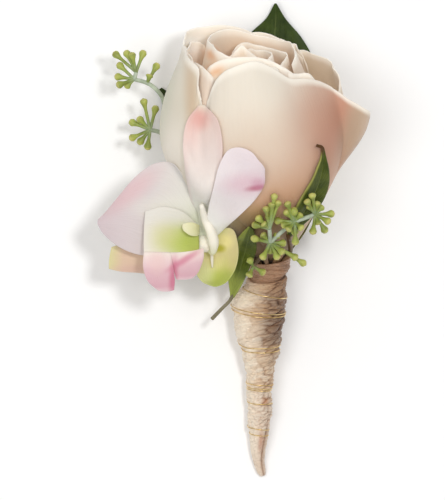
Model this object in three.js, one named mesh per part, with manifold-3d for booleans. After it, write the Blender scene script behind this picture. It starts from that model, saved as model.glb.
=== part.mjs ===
// A boutonniere lying on its back: one blush rose, one orchid bloom, seeded eucalyptus and four leaves,
// their stems bound in a satin ribbon with gold wire wound over it.
// Millimetres. The flowers look up along +Z, the rose's head is towards +Y, the ribbon's tail towards -Y.
// The origin is on the table, under the middle of the whole piece.
import * as THREE from "three";
import { mergeVertices } from "three/addons/utils/BufferGeometryUtils.js";
import Module from "manifold-3d";

const wasm = await Module();
wasm.setup();

// Driving dimensions.
const PETAL_THICK = 0.7; // every blade that is a petal
const LEAF_THICK = 0.8;
const GAP = 0.35; // clear space where one piece rests against another
const TABLE = 0; // height of the surface that the piece lies on

const ROSE_BASE = new THREE.Vector3(10.0, -5.0, 12.4); // where the petals leave the hip
const ROSE_LEAN = THREE.MathUtils.degToRad(5.8); // the head leans to the left of +Y
const ROSE_TILT = THREE.MathUtils.degToRad(20); // and rises from the table
const SEPAL_THICK = 0.6;
const STALK_RADIUS = 0.6; // of every stalk in the bore, round the rose's

const RIBBON_WALL = 0.8; // all the layers of ribbon together
const WIRE_RADIUS = 0.25;
const BUD_STALK = 0.42;
const BUD_RADIUS = 0.95;

const v3 = (p) => new THREE.Vector3(...p);
const curveThrough = (route) => new THREE.CatmullRomCurve3(route.map(v3), false, "centripetal");
const lerp = THREE.MathUtils.lerp;
const clamp = THREE.MathUtils.clamp;
const smooth = (x) => THREE.MathUtils.smoothstep(x, 0, 1);
const radians = THREE.MathUtils.degToRad;

// A smooth curve through knots [t, a, b, ...], read at t as [a, b, ...].
function smoothKnots(knots) {
  return (t) => {
    const last = knots.length - 1;
    let i = 0;
    while (i < last - 1 && t > knots[i + 1][0]) i++;
    const before = knots[Math.max(i - 1, 0)];
    const from = knots[i];
    const to = knots[i + 1];
    const after = knots[Math.min(i + 2, last)];
    const span = to[0] - from[0];
    const s = clamp((t - from[0]) / span, 0, 1);
    const values = [];
    for (let k = 1; k < from.length; k++) {
      const slopeFrom = ((to[k] - before[k]) / (to[0] - before[0])) * span;
      const slopeTo = ((after[k] - from[k]) / (after[0] - from[0])) * span;
      const cube = s * s * s;
      const square = s * s;
      values.push(
        from[k] * (2 * cube - 3 * square + 1) +
          slopeFrom * (cube - 2 * square + s) +
          to[k] * (3 * square - 2 * cube) +
          slopeTo * (cube - square),
      );
    }
    return values;
  };
}

// Points evenly numbered from 0 to 1, as knots.
const evenly = (rows) => rows.map((row, i) => [i / (rows.length - 1), ...row]);

// A closed solid of three.js faces, turned to face out if it was inside out.
function solidOf(vertices, faces) {
  const geometry = new THREE.BufferGeometry();
  const coordinates = vertices.flatMap((p) => [p.x, p.y, p.z]);
  geometry.setAttribute("position", new THREE.Float32BufferAttribute(coordinates, 3));
  geometry.setIndex(faces.flat());
  const merged = mergeVertices(geometry, 1e-4);
  const build = (flip) => {
    const triVerts = new Uint32Array(merged.index.array);
    if (flip)
      for (let i = 0; i < triVerts.length; i += 3)
        [triVerts[i + 1], triVerts[i + 2]] = [triVerts[i + 2], triVerts[i + 1]];
    return new wasm.Manifold(
      new wasm.Mesh({ numProp: 3, vertProperties: merged.attributes.position.array, triVerts }),
    );
  };
  const solid = build(false);
  return solid.volume() < 0 ? build(true) : solid;
}

// A thin solid on both sides of surface(u, v), u from root to tip and v from side to side.
// Both faces are split into triangles alike. floorAt keeps the underside above a height.
function sheet(surface, uSteps, vSteps, thick, floorAt = -Infinity) {
  const step = 1e-3;
  const upper = [];
  const lower = [];
  for (const u of uSteps)
    for (const v of vSteps) {
      const here = surface(u, v);
      const alongU = surface(Math.min(u + step, 1), v).sub(surface(Math.max(u - step, 0), v));
      const alongV = surface(u, Math.min(v + step, 1)).sub(surface(u, Math.max(v - step, -1)));
      const normal = alongV.cross(alongU).normalize().multiplyScalar(thick / 2);
      upper.push(here.clone().add(normal));
      lower.push(here.clone().sub(normal));
    }
  const heights = (points) => points.reduce((sum, p) => sum + p.z, 0);
  const low = heights(upper) < heights(lower) ? upper : lower;
  const high = low === upper ? lower : upper;
  low.forEach((p, i) => {
    p.z = Math.max(p.z, floorAt);
    high[i].z = Math.max(high[i].z, floorAt + 0.9 * thick);
  });
  const columns = vSteps.length;
  const rows = uSteps.length;
  const count = rows * columns;
  const at = (i, j) => i * columns + j;
  const faces = [];
  for (let i = 0; i < rows - 1; i++)
    for (let j = 0; j < columns - 1; j++) {
      const [a, b, c, d] = [at(i, j), at(i, j + 1), at(i + 1, j + 1), at(i + 1, j)];
      faces.push([a, b, c], [a, c, d]);
      faces.push([a + count, c + count, b + count], [a + count, d + count, c + count]);
    }
  const wall = (a, b) => faces.push([a, b, b + count], [a, b + count, a + count]);
  for (let j = 0; j < columns - 1; j++) {
    wall(at(0, j + 1), at(0, j));
    wall(at(rows - 1, j), at(rows - 1, j + 1));
  }
  for (let i = 0; i < rows - 1; i++) {
    wall(at(i, 0), at(i + 1, 0));
    wall(at(i + 1, columns - 1), at(i, columns - 1));
  }
  return solidOf([...upper, ...lower], faces);
}

// Closed rings of points, joined into one body with a fan at each end.
function rings(loops) {
  const sides = loops[0].length;
  const vertices = loops.flat();
  const faces = [];
  for (let i = 0; i < loops.length - 1; i++)
    for (let j = 0; j < sides; j++) {
      const a = i * sides + j;
      const b = i * sides + ((j + 1) % sides);
      faces.push([a, b, b + sides], [a, b + sides, a + sides]);
    }
  const middle = (loop) => loop.reduce((sum, p) => sum.add(p), new THREE.Vector3()).divideScalar(sides);
  const first = vertices.push(middle(loops[0])) - 1;
  const last = vertices.push(middle(loops[loops.length - 1])) - 1;
  const end = (loops.length - 1) * sides;
  for (let j = 0; j < sides; j++) {
    faces.push([first, (j + 1) % sides, j]);
    faces.push([last, end + j, end + ((j + 1) % sides)]);
  }
  return solidOf(vertices, faces);
}

// Frames that don't twist along a route: a point, and the two directions across it.
function framesAlong(route, steps, hint = new THREE.Vector3(0, 0, 1)) {
  const curve = curveThrough(route);
  let across = hint.clone();
  return steps.map((t) => {
    const tangent = curve.getTangent(t);
    across = across.clone().addScaledVector(tangent, -across.dot(tangent)).normalize();
    const side = new THREE.Vector3().crossVectors(tangent, across);
    return { at: curve.getPoint(t), front: across, side };
  });
}

const steps = (count, ease = (t) => t) => Array.from({ length: count + 1 }, (_, i) => ease(i / count));
const across = (count) => steps(count, (t) => 2 * t - 1);
const closeAtTip = (t) => 1 - (1 - t) ** 1.6; // rows crowd towards the tip, where an outline rounds off

// A round rod along a route, its radius read from knots [t, radius].
function rod(route, radii, sides, count) {
  const radiusAt = smoothKnots(radii);
  return rings(
    framesAlong(route, steps(count)).map(({ at, front, side }, i) => {
      const radius = radiusAt(i / count)[0];
      return steps(sides - 1, (t) => (t * (sides - 1) * 2 * Math.PI) / sides).map((turn) =>
        at
          .clone()
          .addScaledVector(front, radius * Math.cos(turn))
          .addScaledVector(side, radius * Math.sin(turn)),
      );
    }),
  );
}

// A leaf or petal with a rib and two edges, each a route from root to tip. Across it, the blade bends
// through all three. ruffle is the height and the number of the waves along its edges.
function blade({ left, rib, right, thick, rows, columns, ruffle = [0, 1], rest = (p) => p, floorAt }) {
  const routes = [left, rib, right].map(curveThrough);
  const surface = (u, v) => {
    const [onLeft, onRib, onRight] = routes.map((route) => route.getPointAt(u));
    const phase = ruffle[1] * 2 * Math.PI * u + (v < 0 ? 1.3 : 0);
    const wave = ruffle[0] * Math.sin(phase) * v * v * smooth(u * 3);
    const bend = onLeft.clone().add(onRight).divideScalar(2).sub(onRib);
    const p = onRib.clone().addScaledVector(onRight.sub(onLeft), v / 2).addScaledVector(bend, v * v);
    p.z += wave;
    return rest(p);
  };
  return sheet(surface, steps(rows, closeAtTip), across(columns), thick, floorAt);
}

// A blade from its rib alone. half holds [t, left, right, rise]: how far the blade reaches to each side,
// and how far its edges stand towards its front. fronts are the directions it faces, from root to tip.
function ribbed({ rib, fronts, half, ...rest }) {
  const halfAt = smoothKnots(half);
  const frontAt = smoothKnots(evenly(fronts.length > 1 ? fronts : [fronts[0], fronts[0]]));
  const curve = curveThrough(rib);
  const edge = (which) =>
    steps(16).map((t) => {
      const tangent = curve.getTangentAt(t);
      const front = v3(frontAt(t));
      front.addScaledVector(tangent, -front.dot(tangent)).normalize();
      const side = new THREE.Vector3().crossVectors(tangent, front);
      const reach = halfAt(t);
      return curve
        .getPointAt(t)
        .addScaledVector(side, which === 1 ? -reach[0] : reach[1])
        .addScaledVector(front, reach[2])
        .toArray();
    });
  return blade({ left: edge(1), rib, right: edge(2), ...rest });
}

// Joins solids, and keeps the largest body: a hollow that joining seals is filled, a loose scrap dropped.
function fuse(...solids) {
  const bodies = wasm.Manifold.union(solids.flat()).decompose();
  return bodies.reduce((most, body) => (body.volume() > most.volume() ? body : most));
}

// The rose.
// Its own frame: height along the axis, turn from the front towards the right, radius.
const roseAxis = new THREE.Vector3(
  -Math.sin(ROSE_LEAN) * Math.cos(ROSE_TILT),
  Math.cos(ROSE_LEAN) * Math.cos(ROSE_TILT),
  Math.sin(ROSE_TILT),
);
const roseRight = new THREE.Vector3(Math.cos(ROSE_LEAN), Math.sin(ROSE_LEAN), 0);
const roseFront = new THREE.Vector3().crossVectors(roseRight, roseAxis);

const bulbRadius = smoothKnots([
  [0, 2.6],
  [5, 7.6],
  [12, 12.6],
  [18, 16.8],
  [26, 21.2],
  [33, 23.6],
  [40, 24.3],
  [48, 23.4],
  [56, 20.8],
  [63, 18],
]);

function rosePoint(turn, radius, height) {
  return ROSE_BASE.clone()
    .addScaledVector(roseAxis, height)
    .addScaledVector(roseRight, radius * Math.sin(turn))
    .addScaledVector(roseFront, radius * Math.cos(turn));
}

// A point outside the rose's guard petals, standing off from their outer face.
const OUTERMOST = 1.045; // share of the bulb's radius at which the outermost petal lies
const besideRose = (turn, height, stand) =>
  rosePoint(turn, bulbRadius(height)[0] * OUTERMOST + PETAL_THICK / 2 + stand, height).toArray();

// One petal. rim holds [turn, radius, height] along its free edge, left to right. layer is the share of
// the bulb's radius that the petal hugs, until it departs from the bulb to reach its rim.
function rosePetal({ rim, layer, depart = 0.55, rows, columns }) {
  const waist = 0.5;
  const ruffle = 0.25;
  const rimAt = smoothKnots(evenly(rim));
  const middle = (rim[0][0] + rim[rim.length - 1][0]) / 2;
  const surface = (u, v) => {
    const s = (v + 1) / 2;
    const [turnAtRim, radiusAtRim, heightAtRim] = rimAt(s);
    const spread = lerp(waist, 1, smooth(Math.min(u / 0.6, 1)));
    const turn = radians(middle + (turnAtRim - middle) * spread);
    const height = heightAtRim * u;
    const waves = ruffle * Math.sin(s * 19 + middle) * u ** 6;
    const away = radiusAtRim - bulbRadius(heightAtRim)[0] * layer;
    const departed = smooth(Math.max((u - depart) / (1 - depart), 0));
    const radius = bulbRadius(height)[0] * layer + away * departed + waves;
    return rosePoint(turn, radius, height);
  };
  return sheet(surface, steps(rows, (t) => 1 - (1 - t) ** 1.15), across(columns), PETAL_THICK);
}

const ROSE_PETALS = [
  // Inside the left guard, its inner face turned up.
  {
    layer: 0.66,
    depart: 0.5,
    rows: 4,
    columns: 6,
    rim: [
      [-142, 16.6, 55.5],
      [-134, 16.9, 58.6],
      [-120, 16.6, 60.2],
      [-106, 16.1, 60.5],
      [-92, 15.7, 60.6],
      [-78, 15.7, 60.2],
      [-64, 15.5, 58.8],
      [-52, 15.2, 56.6],
    ],
  },
  // The two guard petals, front right with its pointed reflexed tip, and left.
  {
    layer: 1.0,
    rows: 6,
    columns: 12,
    rim: [
      [-38, 20.9, 49.5],
      [-34, 20.5, 53.3],
      [-28, 20, 57.8],
      [-19, 19.2, 60.8],
      [-5, 18.4, 62.4],
      [6, 18.1, 62.3],
      [19, 18, 59.7],
      [33, 18.2, 55.8],
      [47, 18.8, 54.5],
      [60, 20.4, 52.3],
      [69, 22.8, 49.4],
      [71, 26.5, 45.8],
      [74, 30.8, 42],
      [90, 28, 38],
      [108, 25.3, 35],
    ],
  },
  {
    layer: OUTERMOST,
    rows: 6,
    columns: 8,
    rim: [
      [-152, 20.6, 51],
      [-130, 19, 57.6],
      [-107, 17, 60.8],
      [-88, 16.4, 62],
      [-70, 16.8, 61.8],
      [-55, 17.6, 61],
      [-47, 18.6, 59.8],
      [-44, 19.6, 57],
      [-42, 20.4, 54],
      [-40, 20.9, 51],
    ],
  },
  // The second layer, seen in the slit between the guards.
  {
    layer: 0.955,
    rows: 4,
    columns: 6,
    rim: [
      [-96, 16.6, 57.5],
      [-78, 16.2, 59.4],
      [-56, 16.2, 60.4],
      [-40, 17.2, 59.2],
      [-33, 16.8, 57],
      [-20, 16.6, 55.2],
      [-2, 16, 53],
    ],
  },
  // The back, from left to right.
  {
    layer: 0.955,
    rows: 5,
    columns: 8,
    rim: [
      [-192, 19, 55.8],
      [-178, 18.8, 58.6],
      [-166, 18.7, 60.3],
      [-156, 18.8, 61.2],
      [-146, 19, 61.4],
      [-138, 19.4, 61.8],
      [-128, 19.4, 62.2],
      [-117, 18, 62.2],
      [-104, 17, 60.6],
      [-90, 16, 59.2],
      [-74, 15.2, 58.4],
      [-60, 14.8, 57],
    ],
  },
  {
    layer: 0.985,
    rows: 5,
    columns: 6,
    rim: [
      [138, 20.6, 50],
      [146, 20.3, 53.6],
      [151, 20.1, 54.7],
      [156, 20, 55.4],
      [163, 19.8, 56.6],
      [172, 19.6, 57.1],
      [181, 19.5, 57.1],
      [192, 19.6, 55.6],
    ],
  },
  {
    layer: 0.97,
    rows: 4,
    columns: 3,
    rim: [
      [134, 21.2, 48],
      [140, 20.8, 52],
      [142, 20.6, 53.6],
      [146, 20.5, 53.9],
      [150, 20.3, 53],
      [153, 20.2, 50.5],
    ],
  },
  {
    layer: 0.95,
    rows: 5,
    columns: 7,
    rim: [
      [86, 22, 42],
      [89, 22.7, 47],
      [94, 22.6, 50.2],
      [103, 22.4, 50.6],
      [114, 22.2, 51.3],
      [127, 22, 51.5],
      [136, 21.8, 51.8],
      [143, 21.6, 51.6],
      [150, 21.4, 49],
    ],
  },
  // The heart: two low bands in front, and a cup that opens towards the back with folds inside it.
  {
    layer: 0.9,
    depart: 0.45,
    rows: 4,
    columns: 5,
    rim: [
      [8, 15.6, 59.6],
      [20, 16.5, 59.6],
      [28, 16.9, 58.2],
      [37, 17.3, 56.7],
      [45, 17.8, 55.8],
      [52, 18.5, 55.4],
      [58, 19.1, 53.4],
      [66, 19.5, 49.6],
    ],
  },
  {
    layer: 0.86,
    depart: 0.45,
    rows: 4,
    columns: 6,
    rim: [
      [-50, 15.2, 57.5],
      [-40, 16, 60.4],
      [-29, 15.2, 62.1],
      [-17, 14.6, 62.7],
      [-5, 14.3, 62.6],
      [8, 14.6, 62.3],
      [17, 15.4, 61.6],
      [25, 16.2, 60.2],
      [34, 16.8, 58],
      [43, 17.2, 55],
    ],
  },
  {
    layer: 0.72,
    depart: 0.35,
    rows: 4,
    columns: 10,
    rim: [
      [-303, 13, 56.6],
      [-282, 12.3, 57.3],
      [-260, 12.3, 57.6],
      [-243, 12.5, 58.3],
      [-220, 13.5, 57.3],
      [-201, 14, 57.8],
      [-186, 14.4, 58.6],
      [-174, 15, 59.8],
      [-164, 15.3, 60.5],
      [-154, 14.9, 60.8],
      [-141, 13.4, 61.1],
      [-120, 11.2, 61.8],
      [-90, 10, 62.6],
      [-68, 10.1, 63.2],
      [-54, 10.6, 63.1],
      [-37, 11.4, 62.8],
      [-23, 12.2, 62.1],
      [-8, 12.4, 61.2],
      [9, 12.2, 60.2],
    ],
  },
  {
    layer: 0.6,
    depart: 0.3,
    rows: 3,
    columns: 5,
    rim: [
      [40, 9.6, 54.5],
      [62, 9.6, 56.4],
      [90, 9.6, 57.2],
      [118, 9.3, 56.8],
      [146, 9.4, 56.5],
      [167, 9.9, 57.1],
      [180, 10.4, 57.8],
      [195, 9.9, 57.4],
      [207, 9.4, 56],
    ],
  },
  {
    layer: 0.5,
    depart: 0.3,
    rows: 3,
    columns: 4,
    rim: [
      [30, 6.4, 56],
      [58, 6, 57.6],
      [88, 5.8, 58],
      [120, 5.8, 57.4],
      [154, 6.1, 57],
      [175, 6.4, 57.4],
      [190, 5.6, 56],
    ],
  },
  {
    layer: 0.4,
    depart: 0.3,
    rows: 3,
    columns: 4,
    rim: [
      [-74, 7, 57],
      [-60, 7, 58.6],
      [-44, 6.6, 60],
      [-27, 5.6, 62],
      [-16, 4.9, 62.6],
      [-2, 4.7, 61.3],
      [20, 5.1, 59.2],
      [40, 6, 57.2],
    ],
  },
];

// What the petals grow from: a disc under them, and the bud's tight core up the middle.
function roseCore() {
  const profile = [
    [0, 2.6],
    [4, 6.3],
    [12, 12.0],
    [18, 14.6],
    [27, 13.5],
    [38, 8.5],
    [52, 2.4],
  ];
  return roseLathe(profile, 12);
}

function roseLathe(profile, sides) {
  return rings(
    profile.map(([height, radius]) =>
      Array.from({ length: sides }, (_, j) => rosePoint((2 * Math.PI * j) / sides, radius, height)),
    ),
  );
}

// The wrapped handle: knots [distance down from its mouth, x, z, outer radius].
const MOUTH_Y = -9.6;
const HANDLE = [
  [0, 9.5, 11.3, 5.2],
  [2.3, 8.8, 11.0, 5.35],
  [4.0, 8.2, 10.8, 6.1],
  [7.1, 7.2, 10.2, 7.0],
  [12.4, 7.1, 9.2, 6.4],
  [18.0, 7.4, 8.1, 5.35],
  [21.0, 7.5, 7.4, 4.6],
  [24.6, 7.4, 6.7, 3.65],
  [29.4, 7.3, 6.0, 3.25],
  [36.5, 7.3, 4.7, 3.0],
  [41.6, 7.2, 3.8, 2.55],
  [46.1, 7.1, 2.8, 1.95],
  [49.2, 7.3, 1.8, 1.5],
  [51.6, 7.9, 1.2, 1.2],
  [52.7, 8.3, 0.85, 0.8],
];
const HANDLE_LENGTH = HANDLE[HANDLE.length - 1][0];
const handleAt = smoothKnots(HANDLE);

const LOOK_AHEAD = 4; // the wrap follows the run of the handle over this distance each way
const SQUARE_TO_ROSE = 6; // and by its mouth it stands square to the rose
function handleFrame(down) {
  const middle = (distance) => {
    const [x, z] = handleAt(distance);
    return new THREE.Vector3(x, MOUTH_Y - distance, z);
  };
  const onward = middle(Math.min(down + LOOK_AHEAD, HANDLE_LENGTH));
  const heading = onward.sub(middle(Math.max(down - LOOK_AHEAD, 0))).normalize();
  heading.lerp(roseAxis.clone().negate(), 1 - smooth(Math.min(down / SQUARE_TO_ROSE, 1))).normalize();
  const right = new THREE.Vector3(0, 0, 1).cross(heading).normalize();
  const front = new THREE.Vector3().crossVectors(heading, right);
  return { at: middle(down), heading, radius: handleAt(down)[2], right, front };
}

// A point of the handle: how far down, its turn from the front to the right, its distance from the middle.
function handlePoint(down, turn, distance) {
  const { at, right, front } = handleFrame(down);
  return at
    .clone()
    .addScaledVector(right, distance * Math.sin(turn))
    .addScaledVector(front, distance * Math.cos(turn));
}

// Each turn of ribbon lies over the one below it and ends in a small step, and the satin puckers.
const RIBBON_PITCH = 7.8;
const RIBBON_STEP = 0.4;
const PUCKER = 0.14;
function ribbonRadius(down, turn) {
  const phase = down / RIBBON_PITCH + turn / (2 * Math.PI);
  const ramp = phase - Math.floor(phase);
  const fade = smooth(Math.min((HANDLE_LENGTH - down) / 8, 1));
  const pucker = PUCKER * Math.sin(5 * turn + 0.73 * down) * Math.sin(0.6 * down + 2 * turn);
  return handleFrame(down).radius + fade * (RIBBON_STEP * (ramp - 0.6) + pucker);
}

const BORE_DEPTH = 37;
const NARROWEST_BORE = 1.95; // round the end of the rose's stem
const boreRadius = (down) => Math.max(handleFrame(down).radius - RIBBON_WALL, NARROWEST_BORE);

function ribbonWrap() {
  const sides = 16;
  const loop = (down, radiusOf) =>
    Array.from({ length: sides }, (_, j) => {
      const turn = (2 * Math.PI * j) / sides;
      const p = handlePoint(down, turn, radiusOf(down, turn));
      p.z = Math.max(p.z, TABLE);
      return p;
    });
  const outside = rings(steps(29).map((t) => loop(t * HANDLE_LENGTH, ribbonRadius)));
  const mouth = loop(0, boreRadius).map((p) => p.addScaledVector(roseAxis, 2));
  const bore = rings([mouth, ...steps(11).map((t) => loop(t * BORE_DEPTH, boreRadius))]);
  return outside.subtract(bore);
}

// The wire winds down over the ribbon in six bands, half a turn behind from each to the next:
// knots [turns, how far down].
const WIRE_DOWN = [
  [0, 3.2],
  [0.5, 3.9],
  [1.0, 8.3],
  [2.5, 9.4],
  [3.0, 17.8],
  [4.5, 19.2],
  [5.0, 28.2],
  [7.5, 30.0],
  [8.0, 33.0],
  [8.5, 33.4],
  [9.0, 39.8],
  [10.5, 42.0],
];
const WIRE_TURNS = WIRE_DOWN[WIRE_DOWN.length - 1][0];
const WIRE_START = -Math.PI / 2; // it starts at the left

function wireDown(turns) {
  const next = Math.max(WIRE_DOWN.findIndex(([at]) => at >= turns), 1);
  const [fromTurn, fromDown] = WIRE_DOWN[next - 1];
  const [toTurn, toDown] = WIRE_DOWN[next];
  return lerp(fromDown, toDown, (turns - fromTurn) / (toTurn - fromTurn));
}

function goldWire() {
  const perTurn = 10;
  const sides = 4;
  const count = WIRE_TURNS * perTurn;
  const clear = GAP + WIRE_RADIUS + 0.3;
  const distanceAt = (turns) => {
    const here = clamp(turns, 0, WIRE_TURNS);
    return ribbonRadius(wireDown(here), 2 * Math.PI * here + WIRE_START) + clear;
  };
  return rings(
    steps(count).map((s) => {
      const turns = s * WIRE_TURNS;
      // the wire is taut, so it rides the highest of the ribbon near it
      const distance = Math.max(...[-1, 0, 1].map((k) => distanceAt(turns + k / perTurn)));
      return Array.from({ length: sides }, (_, j) => {
        const spin = (2 * Math.PI * j) / sides;
        const down = wireDown(turns) + WIRE_RADIUS * Math.cos(spin);
        return handlePoint(down, 2 * Math.PI * turns + WIRE_START, distance + WIRE_RADIUS * Math.sin(spin));
      });
    }),
  );
}

// The stems share the ribbon's bore, standing round the rose's own stem.
const STEM_RING = 3.5;
const STEM_RING_LOW = 2.95; // lower down
const STEM_RING_FALL = 7; // the way down from the mouth over which the stems draw together
const STEM_TURNS = {
  leafRight: radians(62),
  eucalyptusRight: radians(-8),
  orchid: radians(-64),
  eucalyptusLeft: radians(-97),
  leafLeft: radians(-154),
  leafTop: radians(144),
};
const ROUND_ROSE = 1.3 * GAP + STALK_RADIUS; // stand-off of a stalk between two sepals
function stemInBore(turn, deepest) {
  const inside = [1, 0.66, 0.33, 0].map((share) => {
    const down = deepest * share;
    const ring = lerp(STEM_RING, STEM_RING_LOW, smooth(Math.min(down / STEM_RING_FALL, 1)));
    return handlePoint(down, turn, ring).toArray();
  });
  const beyond = v3(inside[3]).addScaledVector(handleFrame(0).heading, -0.9).toArray();
  return [...inside, beyond, besideRose(turn, -0.2, ROUND_ROSE), besideRose(turn, 2, ROUND_ROSE)];
}

const group = new THREE.Group();

function addNode(name, solid, color, roughness, metalness = 0) {
  const mesh = solid.getMesh();
  const geometry = new THREE.BufferGeometry();
  geometry.setAttribute("position", new THREE.BufferAttribute(mesh.vertProperties, 3));
  geometry.setIndex(new THREE.BufferAttribute(mesh.triVerts, 1));
  geometry.computeVertexNormals();
  const node = new THREE.Mesh(geometry, new THREE.MeshStandardMaterial({ color, roughness, metalness }));
  node.name = name;
  group.add(node);
}

// The highest point, over a plan point, at which something can lie clear of all the nodes made so far.
const plumb = new THREE.Raycaster();
function clearOver(x, y, lift) {
  plumb.set(new THREE.Vector3(x, y, 200), new THREE.Vector3(0, 0, -1));
  const hit = plumb.intersectObjects(group.children, false)[0];
  return hit ? hit.point.z + lift / Math.max(hit.face.normal.z, 0.4) : -Infinity;
}
const layOn = (lift) => (p) => {
  p.z = Math.max(p.z, clearOver(p.x, p.y, lift));
  return p;
};
const laid = (route, lift, count) => {
  const curve = curveThrough(route);
  return steps(count).map((t) => layOn(lift)(curve.getPoint(t)).toArray());
};
const over = (x, y, lift, least = 0) => [x, y, Math.max(clearOver(x, y, lift), least)];

addNode("rose_petals", fuse(roseCore(), ROSE_PETALS.map(rosePetal)), 0xf0e0cf, 0.6);

// The sepals: the turn at which each stands and how far up the petals it reaches.
const SEPALS = [
  [24, 5.5],
  [104, 13],
  [178, 9],
  [235, 12],
  [320, 4.5],
];

// The hip under the petals, its five sepals and the rose's stem, down the middle of the handle.
function roseStem() {
  const hip = roseLathe(
    [
      [-0.9, 2.5],
      [-1.5, 2.75],
      [-2.5, 2.3],
    ],
    12,
  );
  const stem = rod(
    [
      rosePoint(0, 0, -1.4).toArray(),
      ...[0, 3, 7, 14, 23, 35].map((down) => handlePoint(down, 0, 0).toArray()),
    ],
    [
      [0, 2.5],
      [0.1, 2.4],
      [0.18, 2.3],
      [0.3, 1.9],
      [0.6, 1.7],
      [1, 1.4],
    ],
    8,
    11,
  );
  const sepals = SEPALS.map(([degrees, length]) => {
    const turn = radians(degrees);
    const outward = rosePoint(turn, 1, 0).sub(rosePoint(turn, 0, 0)).toArray();
    const foot = rosePoint(turn, 2.2, -1.9).toArray();
    const along = (share) => besideRose(turn, share * length, GAP + SEPAL_THICK / 2);
    const rib = [foot, ...[-0.7 / length, 0.2, 0.45, 0.7, 1].map(along)];
    const half = Math.min(0.22 * length, 1.5);
    return ribbed({
      rib,
      fronts: [outward],
      half: [
        [0, 0.5 * half, 0.5 * half, -0.1],
        [0.4, half, half, -0.1],
        [0.75, 0.7 * half, 0.7 * half, 0],
        [1, 0.4, 0.4, 0],
      ],
      thick: SEPAL_THICK,
      rows: 5,
      columns: 2,
    });
  });
  return fuse(hip, stem, sepals);
}
addNode("rose_stem", roseStem(), 0x7f9550, 0.65);
addNode("ribbon_wrap", ribbonWrap(), 0xcdb196, 0.45);
addNode("gold_wire", goldWire(), 0xd8ab4a, 0.3, 1);

// The leaves. Each has its stalk in the handle's bore.
const STALK = [
  [0, STALK_RADIUS],
  [1, STALK_RADIUS - 0.05],
];
function leafWith({ stalk, ...shape }) {
  return fuse(
    rod(stalk, STALK, 6, 12),
    ribbed({ thick: LEAF_THICK, ...shape }),
  );
}

const UP = [0, 0, 1];
const FLAT = LEAF_THICK / 2; // a rib at this height has the leaf's underside on the table

addNode(
  "leaf_top",
  leafWith({
    stalk: [...stemInBore(STEM_TURNS.leafTop, 15), [10.1, 1.5, 2.8], [10.1, 6, 1.5], [10.2, 12, 0.6]],
    rib: [
      [10.0, -3.4, 5.3],
      [10.1, 0.5, 3.4],
      [10.1, 6, 1.5],
      [10.2, 12, FLAT],
      [10.5, 22, FLAT],
      [10.8, 34, FLAT],
      [11.2, 47, FLAT],
      [11.5, 55, 0.9],
      [11.8, 59.5, 1.8],
      [11.95, 62.3, 2.9],
    ],
    fronts: [UP],
    half: [
      [0, 0.8, 0.8, 0],
      [0.12, 5, 5, 0],
      [0.3, 12, 12, 0],
      [0.5, 14, 14, 0],
      [0.7, 12, 12.4, 0],
      [0.8, 9.4, 10.0, 0.1],
      [0.865, 6.8, 7.2, 0.15],
      [0.9, 5.3, 5.5, 0.2],
      [0.925, 3.8, 3.9, 0.2],
      [0.948, 2.0, 2.0, 0.15],
      [0.973, 0.9, 0.9, 0.1],
      [1, 0.4, 0.4, 0],
    ],
    rows: 14,
    columns: 6,
    floorAt: TABLE,
  }),
  0x37592c,
  0.5,
);

addNode(
  "leaf_left",
  leafWith({
    stalk: [...stemInBore(STEM_TURNS.leafLeft, 18), [2.4, -0.4, 4.4], [-0.4, 4, 2.2], [-2.6, 8, 1.0]],
    rib: [
      [3.2, -1.8, 5.0],
      [0.6, 2.4, 2.9],
      [-2.2, 7.4, 1.1],
      [-5.5, 14, FLAT],
      [-9, 22, FLAT],
      [-13, 31, FLAT],
      [-16.5, 37, 0.8],
      [-18.9, 40.6, 1.6],
    ],
    fronts: [UP],
    half: [
      [0, 0.7, 0.7, 0],
      [0.2, 4.6, 3.2, 0],
      [0.5, 6.6, 4.4, 0],
      [0.8, 4.2, 3.8, 0],
      [1, 0.4, 0.4, 0],
    ],
    rows: 9,
    columns: 4,
    floorAt: TABLE,
  }),
  0x41632f,
  0.5,
);

addNode(
  "leaf_right",
  leafWith({
    stalk: [...stemInBore(STEM_TURNS.leafRight, 16), over(15, 1.6, 1.6)],
    rib: [
      over(15.2, 1.4, 1.4),
      over(16.2, 3.4, 1.4),
      over(18.9, 7.7, 1.2),
      over(22.1, 13.5, 1.2),
      over(23.7, 18.6, 1.3),
      over(24.2, 22.6, 1.8),
      over(23.6, 24.9, 2.2),
      over(22.4, 25.2, 2.2),
    ],
    fronts: [
      [0.35, -0.5, 0.8],
      [0.5, -0.4, 0.8],
      [0.6, -0.3, 0.8],
    ],
    half: [
      [0, 0.7, 0.7, 0],
      [0.25, 2.8, 3.2, 0.2],
      [0.5, 3.2, 3.8, 0.2],
      [0.72, 2.0, 2.2, 0.3],
      [0.85, 0.7, 0.7, 0],
      [1, 0.4, 0.4, 0],
    ],
    rows: 10,
    columns: 4,
    rest: layOn(LEAF_THICK / 2 + 1.6 * GAP),
  }),
  0x55803a,
  0.45,
);

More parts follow.
